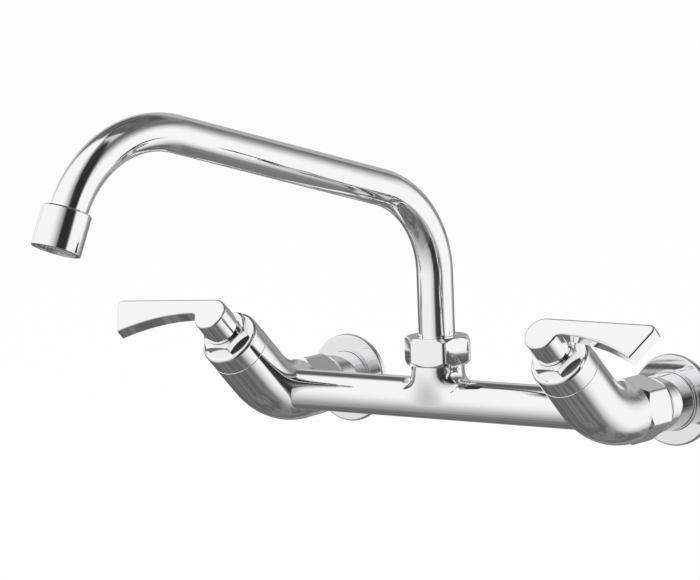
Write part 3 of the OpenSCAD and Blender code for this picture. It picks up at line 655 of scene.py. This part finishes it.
def connector(side):
    """The shank, its thread, its water way and the neck that carries the flange."""
    shell = Shell()
    root = SHANK_RADIUS - THREAD_DEPTH
    columns = []
    for j in range(CONNECTOR_SIDES):
        angle = math.tau * j / CONNECTOR_SIDES
        outline = [(WATER_WAY, SHANK_END), (root - END_BREAK, SHANK_END)]
        for i in range(THREAD_LEVELS + 1):
            height = SHANK_END + THREAD_START + THREAD_LENGTH * i / THREAD_LEVELS
            fade = min(1, (height - SHANK_END) / LEAD_IN, (THREAD_STOP - height) / LEAD_OUT)
            depth = thread_radius(height, angle) - root
            outline.append((root + max(0, fade) * depth, height))
        outline += [(root, -THREAD_START)] + NECK + [(WATER_WAY, NECK[-1][1])]
        columns.append([(r * math.cos(angle), r * math.sin(angle), z) for r, z in outline])
    shell.grid(columns, loop=True)
    return to_mesh("connector", shell, from_wall(side))


for name, side in SIDES.items():
    add_piece(f"{name}_wall_connector", connector(side), "faucet_body",
              FINISH["turned_chrome"], [f"{name}_connector"])

# %% [markdown]
# ## Flanges
# The flange hides the hole in the wall. It is a flat disc of pressed sheet with a rounded rim,
# a low lip round the neck and a hollow behind. One outline with the sheet's thickness gives
# all of it, and the neck mirrors in its flat face.
# %% Press the flanges
FLANGE_RADIUS, FLANGE_DEPTH, FLANGE_HOLE, SHEET = 23.3, 2.9, 14.62, 1.2
RIM_ROUND, RIM_FOOT, INNER_FOOT, INNER_BEND, HOLE_EASE = 1.1, 0.15, 0.1, 0.5, 0.1
LIP_RADIUS, LIP_TOP, LIP_INNER_EASE, LIP_OUTER_EASE, LIP_FOOT = 15.35, 4.6, 0.25, 0.45, 0.3
FLANGE_SIDES = 128
for name, side in SIDES.items():
    shell = Shell()
    lathe(shell, [(FLANGE_HOLE, LIP_TOP, LIP_INNER_EASE), (LIP_RADIUS, LIP_TOP, LIP_OUTER_EASE),
                  (LIP_RADIUS, FLANGE_DEPTH, LIP_FOOT), (FLANGE_RADIUS, FLANGE_DEPTH, RIM_ROUND),
                  (FLANGE_RADIUS, 0.0, RIM_FOOT), (FLANGE_RADIUS - SHEET, 0.0, INNER_FOOT),
                  (FLANGE_RADIUS - SHEET, FLANGE_DEPTH - SHEET, INNER_BEND),
                  (FLANGE_HOLE, FLANGE_DEPTH - SHEET, HOLE_EASE)], FLANGE_SIDES)
    # the flanges get the greyer chrome, whose darker colour is painted shade on their reflection
    add_piece(f"{name}_wall_flange", to_mesh("flange", shell, from_wall(side)), "faucet_body",
              FINISH["pressed_chrome_painted_shade"], [f"{name}_flange"])

# %% [markdown]
# ## Spout nut
# The spout nut holds the swivel down. It leaves a narrow gap to the boss and to the tube, and
# both gaps read as fine dark lines.
# %% Cut the spout nut
NUT_FOOT, NUT_TOP, NUT_FLATS, NUT_BORE = 21.05, 35.6, 31.0, 9.55
NUT_TURN, NUT_EDGE, NUT_CORNER, NUT_CHAMFER = math.radians(16.7), 0.7, 3.2, 45
nut_rim = NUT_FLATS / 2 - 0.3
shell = Shell()
hex_nut(shell, NUT_FLATS, NUT_FOOT, NUT_TOP, (nut_rim, nut_rim), NUT_BORE, NUT_TURN,
        NUT_EDGE, NUT_CORNER, NUT_CHAMFER)
add_piece("spout_hexagon", to_mesh("spout_nut", shell, RISER), "faucet_body",
          FINISH["turned_chrome"], ["spout_nut"])

# %% [markdown]
# ## The spout
# The spout is one length of drawn tube with two bends in one plane. The plane itself swings
# with the joint, and in the rest pose it stands a little to the left of straight ahead. The
# tube is swept outside and back inside, so that its wall has a real thickness.
# %% Bend the spout tube
SPOUT_RADIUS, SPOUT_WALL, SPOUT_TURN = 9.25, 1.25, math.radians(11.6)
TUBE_FOOT, RISER_TOP, SPOUT_STEP = 20.0, 67.6, math.radians(1.0)
BENDS = ((48.4, math.radians(74)), (56.3, math.radians(79)))
RUN, TAIL, FERRULE_END = 133.9, 1.75, 7.9    # the tube goes on inside the aerator's sleeve
ahead = Vector((-math.sin(SPOUT_TURN), -math.cos(SPOUT_TURN), 0))
upwards = Vector((0, 0, 1))
moves = [("run", RISER_TOP - TUBE_FOOT), ("bend", *BENDS[0]), ("run", RUN), ("bend", *BENDS[1]),
         ("run", TAIL + FERRULE_END)]
stations = plane_path((0, TUBE_FOOT), moves, ahead, upwards, SPOUT_STEP)
shell = Shell()
rows = [ring_at(station, SPOUT_RADIUS) for station in stations]
rows += [ring_at(station, SPOUT_RADIUS - SPOUT_WALL) for station in reversed(stations)]
shell.grid(rows, loop=True)
add_piece("spout_bent_tube", to_mesh("spout_tube", shell, RISER), "spout",
          FINISH["drawn_chrome"], ["spout_tube"])
outlet = push(stations[-1], -FERRULE_END)
print("outlet at", [round(v, 1) for v in outlet[0]])

# %% [markdown]
# ## Aerator
# The aerator screws on the spout's end. Its housing is a turned sleeve with a chamfered upper
# edge and a small lip that holds a woven screen. Sleeves are rarely screwed on quite straight,
# so this one leans by a few degrees about its own middle.
# %% Turn the aerator's housing
AERATOR_RADIUS, AERATOR_LENGTH, AERATOR_TILT = 12.0, 20.0, math.radians(4)
AERATOR_BORE, AERATOR_CHAMFER, AERATOR_EASE, AERATOR_SIDES = 10.9, 0.8, 0.4, 128
MOUTH_RADIUS, MOUTH_LEVEL, MOUTH_EASE, TOP_BREAK = 9.8, 18.5, 0.25, 0.1
centre, across_tube, aside = outlet
middle = Matrix.Translation((0, 0, AERATOR_LENGTH / 2))
lean = middle @ Matrix.Rotation(AERATOR_TILT, 4, "Y") @ middle.inverted()
DOWN_SPOUT = RISER @ frame_from(across_tube, -aside, aside.cross(across_tube), centre) @ lean
shell = Shell()
lathe(shell, [(AERATOR_BORE, 0, TOP_BREAK), (AERATOR_RADIUS - AERATOR_CHAMFER, 0, TOP_BREAK),
              (AERATOR_RADIUS, AERATOR_CHAMFER, AERATOR_EASE),
              (AERATOR_RADIUS, AERATOR_LENGTH, AERATOR_EASE),
              (MOUTH_RADIUS, AERATOR_LENGTH, MOUTH_EASE), (MOUTH_RADIUS, MOUTH_LEVEL, 0),
              (AERATOR_BORE, MOUTH_LEVEL, 0)], AERATOR_SIDES)
add_piece("aerator_sleeve", to_mesh("aerator_housing", shell, DOWN_SPOUT), "spout",
          FINISH["turned_chrome"], ["aerator_housing"])

# %% [markdown]
# The screen is woven of round wires. A picture of a weave on a disc would look flat through
# the mouth, so each wire is swept along its own wave: it passes over one wire and under the
# next, and its neighbour does the opposite.
# %% Weave the screen
WIRE_RADIUS, WIRE_SIDES, WIRE_PITCH, WIRE_STEP = 0.2, 6, 1.15, 0.5
WIRES_EACH_SIDE, SCREEN_LEVEL, SCREEN_RADIUS = 8, 17.9, 9.7
HOOP_BORE, HOOP_RADIUS, HOOP_TOP, HOOP_EASE, HOOP_SIDES = 9.6, 10.7, 17.3, 0.2, 64


def wire(shell, points):
    """A thin round wire through points, close enough together to bend smoothly."""
    rows = []
    for i, point in enumerate(points):
        onwards = Vector(points[min(i + 1, len(points) - 1)]) - Vector(points[max(i - 1, 0)])
        first = onwards.orthogonal().normalized()
        second = onwards.cross(first).normalized()
        turns = [math.tau * j / WIRE_SIDES for j in range(WIRE_SIDES)]
        rows.append([tuple(Vector(point) + WIRE_RADIUS * (first * math.cos(turn)
                                                          + second * math.sin(turn)))
                     for turn in turns])
    shell.capped_grid(rows)


def woven_wire(i, across):
    """The points of one wire, counted from the middle, in one of the two directions."""
    offset = i * WIRE_PITCH
    half = math.sqrt(SCREEN_RADIUS ** 2 - offset ** 2)
    count = int(2 * half / WIRE_STEP)
    points = []
    for k in range(count + 1):
        along = -half + 2 * half * k / count
        rise = WIRE_RADIUS * math.cos(math.pi * along / WIRE_PITCH)
        level = SCREEN_LEVEL + rise * (1 if (i + across) % 2 else -1)
        points.append((offset, along, level) if across else (along, offset, level))
    return points


shell = Shell()
lathe(shell, [(HOOP_BORE, HOOP_TOP, 0), (HOOP_RADIUS, HOOP_TOP, 0),
              (HOOP_RADIUS, MOUTH_LEVEL, 0), (HOOP_BORE, MOUTH_LEVEL, HOOP_EASE)], HOOP_SIDES)
for across in (False, True):
    for i in range(-WIRES_EACH_SIDE, WIRES_EACH_SIDE + 1):
        wire(shell, woven_wire(i, across))
add_piece("aerator_woven_screen", to_mesh("aerator_screen", shell, DOWN_SPOUT), "spout",
          FINISH["stainless_steel"], ["aerator_screen"])

# %% [markdown]
# ## Levers
# A lever is a flat blade that flares away from a round hub. Its back is straight, its lower
# edge is a long hollow curve, and both run into the hub without a step. A stretched box joined
# to a cylinder would show the join in the polish, so the outline is made of exact arcs first,
# seen along the valve's axis with the blade to the right.
# %% The lever's outline
HUB_RADIUS, HUB_TAPER, HUB_BASE, HUB_TOP, BLADE_BASE = 9.04, 0.26, 57.6, 72.0, 65.0
TIP_TOP, TIP_BOTTOM = Vector((63.6, 6.7)), Vector((54.3, -12.8))
EDGE_INNER, EDGE_RADIUS = Vector((13.6, -0.2)), 100.0
LEVER_FILLET, TIP_ROUND = 3.0, 3.0
FILLET_STEPS, HOLLOW_STEPS, TIP_STEPS, BACK_STEPS = 6, 30, 8, 16


def circles_meet(a, ra, b, rb):
    """The crossing of two circles to the left of the line from a to b."""
    apart = (b - a).length
    along = (ra * ra - rb * rb + apart * apart) / (2 * apart)
    aside = math.sqrt(ra * ra - along * along)
    way = (b - a) / apart
    return a + way * along + Vector((-way.y, way.x)) * aside


def arc(centre, radius, start, stop, count):
    """Points of an arc from one angle to another."""
    turns = [start + (stop - start) * i / count for i in range(count + 1)]
    return [centre + radius * Vector((math.cos(turn), math.sin(turn))) for turn in turns]


def angle_of(v):
    """The direction of a flat vector."""
    return math.atan2(v.y, v.x)


chord = TIP_BOTTOM - EDGE_INNER
normal = Vector((-chord.y, chord.x)).normalized()
edge_drop = math.sqrt(EDGE_RADIUS ** 2 - (chord.length / 2) ** 2)
edge_centre = (TIP_BOTTOM + EDGE_INNER) / 2 - normal * edge_drop
hub_centre = Vector((0, 0))
fillet_centre = circles_meet(hub_centre, HUB_RADIUS + LEVER_FILLET,
                             edge_centre, EDGE_RADIUS - LEVER_FILLET)
fillet_on_hub = fillet_centre.normalized() * HUB_RADIUS
fillet_on_edge = edge_centre + (fillet_centre - edge_centre).normalized() * EDGE_RADIUS
back_start = Vector((0, HUB_RADIUS))
print("the hollow edge begins", round(fillet_on_edge.x, 2), "mm from the valve's axis")


def blade_edge():
    """The blade's outline from the hub's fillet along the lower edge and tip to the back."""
    points = arc(fillet_centre, LEVER_FILLET, angle_of(fillet_on_hub - fillet_centre),
                 angle_of(fillet_on_edge - fillet_centre), FILLET_STEPS)
    points += arc(edge_centre, EDGE_RADIUS, angle_of(fillet_on_edge - edge_centre),
                  angle_of(TIP_BOTTOM - edge_centre), HOLLOW_STEPS)[1:]
    tip = arc_corner(tuple(TIP_BOTTOM), tuple(TIP_TOP), tuple(back_start), TIP_ROUND, TIP_STEPS)
    points += [Vector(p) for p in tip]
    end = points[-1]
    points += [end + (back_start - end) * i / BACK_STEPS for i in range(1, BACK_STEPS + 1)]
    return points


# %% [markdown]
# The outline is drawn out to a solid: the hub down to its foot, the blade only to its lower
# face. Then the edges are bevelled, as buffing leaves them: the upper ones widely, the others
# finely. Both levers are turned by the same small angle in the same sense, so the right tip
# stands a little up and the left one hangs a little down.
# %% Draw out the lever and bevel its edges
LEVER_TURN = math.radians(1.66)
TOP_EASE, TOP_STEPS, EDGE_EASE, LOW_STEPS = 1.3, 6, 0.5, 3
BEVEL_FROM, BEVEL_PROFILE = math.radians(35), 0.5
FAR_STEPS, NEAR_STEPS = 44, 24     # round the hub away from the blade, and under the blade


def bevel(work, rim):
    """Bevels the edges of the rim widely and then every other sharp edge finely."""
    passes = ((TOP_EASE, TOP_STEPS, rim.issuperset), (EDGE_EASE, LOW_STEPS, lambda verts: True))
    for width, steps, chosen in passes:
        sharp = [e for e in work.edges if chosen(e.verts) and len(e.link_faces) == 2
                 and e.calc_face_angle(0) > BEVEL_FROM]
        bmesh.ops.bevel(work, geom=sharp, offset=width * MM, segments=steps,
                        profile=BEVEL_PROFILE, affect="EDGES", clamp_overlap=True)


def lever_mesh(place):
    """Hub and blade as one solid with bevelled edges."""
    work = bmesh.new()

    def corner(point, height):
        return work.verts.new((place @ Vector((point.x, point.y, height))) * MM)

    def round_hub(directions, height):
        radius = HUB_RADIUS + HUB_TAPER * (HUB_TOP - height) / (HUB_TOP - HUB_BASE)
        return [corner(direction * radius, height) for direction in directions]

    def strip(upper, lower):
        for i in range(len(upper) - 1):
            work.faces.new((upper[i], upper[i + 1], lower[i + 1], lower[i]))

    edge = blade_edge()
    start = angle_of(fillet_on_hub)
    far_side = arc(hub_centre, 1.0, math.pi / 2, math.tau + start, FAR_STEPS)[1:-1]
    near_side = arc(hub_centre, 1.0, start, math.pi / 2, NEAR_STEPS)[1:-1]
    ends = [edge[-1].normalized(), edge[0].normalized()]
    top_edge = [corner(p, HUB_TOP) for p in edge]
    low_edge = [corner(p, BLADE_BASE) for p in edge]
    far_top = round_hub(far_side, HUB_TOP)
    far_middle = round_hub(far_side, BLADE_BASE)
    far_foot = round_hub(far_side, HUB_BASE)
    near_middle = round_hub(near_side, BLADE_BASE)
    near_foot = round_hub(near_side, HUB_BASE)
    end_foot = round_hub(ends, HUB_BASE)
    ring_middle = [low_edge[-1]] + far_middle + [low_edge[0]]
    ring_foot = [end_foot[0]] + far_foot + [end_foot[1]]
    work.faces.new(top_edge + far_top)
    strip([top_edge[-1]] + far_top + [top_edge[0]], ring_middle)
    strip(ring_middle, ring_foot)
    strip(top_edge, low_edge)
    strip([low_edge[0]] + near_middle + [low_edge[-1]], [end_foot[1]] + near_foot + [end_foot[0]])
    work.faces.new(low_edge[::-1] + near_middle)
    work.faces.new(ring_foot + near_foot)
    bmesh.ops.recalc_face_normals(work, faces=work.faces)
    bevel(work, set(top_edge + far_top))
    mesh = bpy.data.meshes.new("lever")
    work.to_mesh(mesh)
    work.free()
    return mesh


# %% [markdown]
# A set screw in the back of each hub holds the lever on its spindle. Its hole is cut with a
# boolean, which is simple here because the hole is small and meets only the hub. The screw is
# a grid of columns again, with a thread outside and a hexagon socket inside.
# %% Cut the hole and add the set screw
SCREW_HEIGHT, SCREW_START, SCREW_RADIUS, SCREW_SIDES = 61.6, 4.05, 2.0, 48
SCREW_PITCH, SCREW_DEPTH, SCREW_LEVELS, THREAD_FROM, THREADED = 0.7, 0.3, 40, 0.3, 3.8
SOCKET_CORNER, SOCKET_ROUND, SOCKET_EASE = 1.15, 0.1, 0.15
POINT = [(0.6, 0.0), (1.3, 0.0)]   # radius and height of the cup point
HEAD = [(1.75, 4.3), (1.6, 4.4)]   # radius and height of the broken outer edge
SOCKET_FLOOR, SOCKET_TIP = 2.4, (0.3, 2.0)
HOLE_RADIUS, HOLE_SIDES, HOLE_ENDS = 2.06, 32, (SCREW_START - 0.3, 12.0)


def cut_hole(mesh, place, name):
    """The lever's mesh with the set screw's hole cut into its hub."""
    turns = [math.tau * j / HOLE_SIDES for j in range(HOLE_SIDES)]
    tool = Shell()
    ring = [(HOLE_RADIUS * math.cos(turn), HOLE_RADIUS * math.sin(turn)) for turn in turns]
    tool.capped_grid([[(x, y, SCREW_HEIGHT + z) for x, z in ring] for y in HOLE_ENDS])
    body = bpy.data.objects.new(name, mesh)
    cutter = bpy.data.objects.new(name + "_cutter", to_mesh("cutter", tool, place))
    for thing in (body, cutter):
        bpy.context.scene.collection.objects.link(thing)
    cut = body.modifiers.new("hole", "BOOLEAN")
    cut.object, cut.operation, cut.solver = cutter, "DIFFERENCE", "EXACT"
    bpy.context.view_layer.update()
    seen = body.evaluated_get(bpy.context.evaluated_depsgraph_get())
    made = bpy.data.meshes.new_from_object(seen)
    bpy.data.objects.remove(body)
    bpy.data.objects.remove(cutter)
    return made


def set_screw(shell):
    """A cup-point set screw with a hexagon socket, drawn along its own axis."""
    head = HEAD[-1][1]
    columns = []
    for j in range(SCREW_SIDES):
        angle = math.tau * j / SCREW_SIDES
        socket = hexagon_reach(SOCKET_CORNER * math.cos(math.pi / 6), angle, SOCKET_ROUND)
        outline = list(POINT)
        for i in range(SCREW_LEVELS + 1):
            height = THREAD_FROM + THREADED * i / SCREW_LEVELS
            phase = (height / SCREW_PITCH - angle / math.tau) % 1
            outline.append((SCREW_RADIUS - SCREW_DEPTH * abs(2 * phase - 1), height))
        outline += HEAD + [(socket + SOCKET_EASE, head), (socket, head - SOCKET_EASE),
                           (socket, SOCKET_FLOOR), SOCKET_TIP]
        columns.append([(r * math.cos(angle), r * math.sin(angle), z) for r, z in outline])
    shell.grid(columns, loop=True)


for name, side in SIDES.items():
    place = on_arm(side) @ Matrix.Rotation(side * LEVER_TURN, 4, "Z")
    mesh = cut_hole(lever_mesh(place), place, f"{name}_lever_blank")
    add_piece(f"{name}_lever_blade", mesh, f"{name}_handle", FINISH["cast_chrome"],
              [f"{name}_lever"])
    shell = Shell()
    set_screw(shell)
    along_screw = place @ frame_from((1, 0, 0), (0, 0, -1), (0, 1, 0),
                                     (0, SCREW_START, SCREW_HEIGHT))
    add_piece(f"{name}_set_screw", to_mesh("set_screw", shell, along_screw), f"{name}_handle",
              FINISH["stainless_steel"], [f"{name}_lever_screw"])

# %% [markdown]
# ## Camera
# The camera stands where the photograph was taken, about two metres away and a little above,
# with a long lens. A shorter lens would have to stand nearer, and the tap's lines would run
# together more steeply. The small shift only places the picture's edges.
# %% Place the camera
EYE = Vector((1163.63, -1681.91, 303.36)) * MM
YAW, PITCH, ROLL = 0.63956, 0.119864, -0.036625       # radians
FOCAL, CENTRE, FRAME_SIZE = 3979.34, (368.985, 283.533), (700, 580)    # pixels
SENSOR = 36.0
level = math.cos(PITCH)
forward = Vector((-math.sin(YAW) * level, math.cos(YAW) * level, -math.sin(PITCH)))
right = Vector((math.cos(YAW), math.sin(YAW), 0))
above = right.cross(forward)
across = right * math.cos(ROLL) + above * math.sin(ROLL)
upright = above * math.cos(ROLL) - right * math.sin(ROLL)
camera_data = bpy.data.cameras.new("camera")
camera_data.sensor_width = SENSOR
camera_data.lens = FOCAL * SENSOR / FRAME_SIZE[0]
camera_data.shift_x = (FRAME_SIZE[0] / 2 - CENTRE[0]) / FRAME_SIZE[0]
camera_data.shift_y = (CENTRE[1] - FRAME_SIZE[1] / 2) / FRAME_SIZE[0]
camera = bpy.data.objects.new("camera", camera_data)
bpy.context.scene.collection.objects.link(camera)
camera.matrix_world = frame_from(across, upright, -forward, EYE)
bpy.context.scene.camera = camera
print("lens", round(camera_data.lens, 1), "mm")

# %% [markdown]
# ## Studio
# Chrome has no colour of its own: it shows the room. This room has a large white wall to the
# left of the camera and another to the right. The dark opening between them draws the dark
# lines along the tubes. Behind the tap are greyer walls, a ceiling, a window, a bright strip
# and darker corners, which draw the thin lines at the tubes' edges. Real walls round the tap
# would stand in the camera's way, so the world plays that room for polished metal, while the
# camera sees plain white. Bearings count from the camera to the right, heights from the
# horizon up, both in degrees.
# %% The walls of the room
ROOM_GREY = 0.22
WALLS = {
    # name: bearing, half width, softness, height, half height, softness, brightness
    "floor": (0, 180, 1, -90, 20, 30, 0.20),
    "left_wall": (-82, 40, 66, 45, 36, 82, 0.98),
    "back_wall": (180, 35, 25, 10, 34, 26, 0.33),
    "back_window": (-172, 26, 16, 22, 7, 9, 0.55),
    "back_ceiling": (-175, 28, 18, 54, 16, 10, 0.17),
    "back_right": (160, 10, 14, 30, 8, 12, 0.48),
    "back_corner": (130, 9, 14, 36, 8, 12, 0.28),
    "back_cabinet": (-148, 18, 14, -36, 24, 16, 0.20),
    "back_strip": (-142, 22, 12, 5, 4, 6, 0.92),
    "right_ceiling": (130, 50, 20, 75, 20, 20, 0.15),
    "ceiling_lamp": (58, 12, 10, 74, 12, 12, 0.60),
    "right_wall": (86, 26, 24, -12, 18, 38, 0.98),
    "opening": (30, 15, 13, 34, 30, 18, 0.04),
    "opening_foot": (10, 9, 12, -15, 16, 26, 0.05),
}
world = bpy.data.worlds.new("studio")
bpy.context.scene.world = world
world.use_nodes = True
graph = Graph(world.node_tree)
direction = graph.node("TexCoord", output="Generated")
east, north, rise = (graph.node("SeparateXYZ", {}, {0: direction}, axis) for axis in range(3))
to_camera = math.atan2(EYE.y, EYE.x)
bearing = graph.node("Math", {"operation": "ARCTAN2"}, {0: north, 1: east}) - to_camera
height = graph.node("Math", {"operation": "ARCSINE"}, {0: rise})


def soft_fall(value, start, stop, top=1.0):
    """Falls softly from top to 0 while the value goes from start to stop."""
    return graph.node("MapRange", {"interpolation_type": "SMOOTHSTEP", "clamp": True},
                      {"Value": value, "From Min": start, "From Max": stop,
                       "To Min": top, "To Max": 0.0})


def band(value, centre, half_width, softness, around=False):
    """1 within half_width of centre, falling softly to 0; around closes the circle."""
    off = value - math.radians(centre)
    if around:
        off = graph.node("Math", {"operation": "WRAP"}, {0: off, 1: math.pi, 2: -math.pi})
    off = graph.node("Math", {"operation": "ABSOLUTE"}, {0: off})
    return soft_fall(off, math.radians(half_width), math.radians(half_width + softness))


room = ROOM_GREY
for turn, half, soft, level, half_level, soft_level, brightness in WALLS.values():
    wall = band(bearing, turn, half, soft, True) * band(height, level, half_level, soft_level)
    room = room + (brightness - room) * wall
print("walls:", len(WALLS))

# %% [markdown]
# Real walls have joints and clutter. Where the room is darker it is streaked a little, mostly
# sideways, so that the dark bands on the metal look alive. Other rays than the camera's and
# the mirror's see an even grey, which lights the matt pieces and the floor.
# %% Mottle the room and show it to the metal only
STREAK = 0.40                      # how much clutter and joints darken the darker walls
CLUTTER_SIDEWAYS, CLUTTER_UP, CLUTTER_DETAIL, CLUTTER_ROUGHNESS = 1.3, 6.0, 3.0, 0.6
CLUTTER_RANGE, DARK_RANGE = (0.42, 0.58), (0.3, 0.6)
AMBIENT = 0.75
clutter = graph.node("CombineXYZ", {}, {0: bearing * CLUTTER_SIDEWAYS, 1: height * CLUTTER_UP})
clutter = graph.node("TexNoise", {}, {"Vector": clutter, "Scale": 1.0, "Detail": CLUTTER_DETAIL,
                                      "Roughness": CLUTTER_ROUGHNESS})
room = room * (1 - soft_fall(clutter, *CLUTTER_RANGE) * soft_fall(room, *DARK_RANGE, STREAK))
is_camera = graph.node("LightPath", output="Is Camera Ray")
is_glossy = graph.node("LightPath", output="Is Glossy Ray")
light = is_camera + is_glossy * room + (1 - is_camera - is_glossy) * AMBIENT
shade = graph.node("CombineColor", {}, {0: light, 1: light, 2: light})
backdrop = graph.node("Background", {}, {"Color": shade, "Strength": 1.0})
graph.node("OutputWorld", {}, {"Surface": backdrop})
print("studio nodes:", len(graph.tree.nodes))

# %% [markdown]
# Two soft lamps give the matt pieces a bright side. The metal doesn't mirror them, because the
# room already draws its lights. The pale floor keeps the tap's shadow: the camera sees it as
# mostly glow with a little matt paint, so it melts into the white background.
# %% Lamps and the floor
LAMPS = {
    # name: place in metres, watts, size in metres
    "key": ((-0.9, -1.3, 1.5), 9, 1.2),
    "fill": ((1.6, -0.6, 0.9), 5, 1.4),
}
FLOOR_LEVEL, FLOOR_REACH, FLOOR_PAINT, FLOOR_GLOW = -0.16, 6.0, 0.9, 0.95
for name, (place, power, size) in LAMPS.items():
    lamp = bpy.data.lights.new(name, "AREA")
    lamp.energy, lamp.size = power, size
    holder = bpy.data.objects.new(name, lamp)
    bpy.context.scene.collection.objects.link(holder)
    holder.location = place
    holder.rotation_euler = Vector(place).to_track_quat("Z", "Y").to_euler()
    holder.visible_glossy = False
floor_mesh = bpy.data.meshes.new("floor")
corners = [(x * FLOOR_REACH, y * FLOOR_REACH, FLOOR_LEVEL)
           for x, y in ((-1, -1), (1, -1), (1, 1), (-1, 1))]
floor_mesh.from_pydata(corners, [], [(0, 1, 2, 3)])
floor = bpy.data.objects.new("floor", floor_mesh)
bpy.context.scene.collection.objects.link(floor)
floor_paint = bpy.data.materials.new("floor_paint")
floor_paint.use_nodes = True
graph = Graph(floor_paint.node_tree)
seen = graph.node("LightPath", output="Is Camera Ray")
matt = graph.node("BsdfDiffuse", {}, {"Color": (FLOOR_PAINT, FLOOR_PAINT, FLOOR_PAINT, 1)})
glow = graph.node("Emission", {}, {"Color": (1, 1, 1, 1), "Strength": 1.0})
mixed = graph.node("MixShader", {}, {0: seen * FLOOR_GLOW, 1: matt, 2: glow})
graph.node("OutputMaterial", {}, {"Surface": mixed})
floor_mesh.materials.append(floor_paint)
floor.visible_glossy = False
bpy.context.scene.view_settings.view_transform = "Standard"
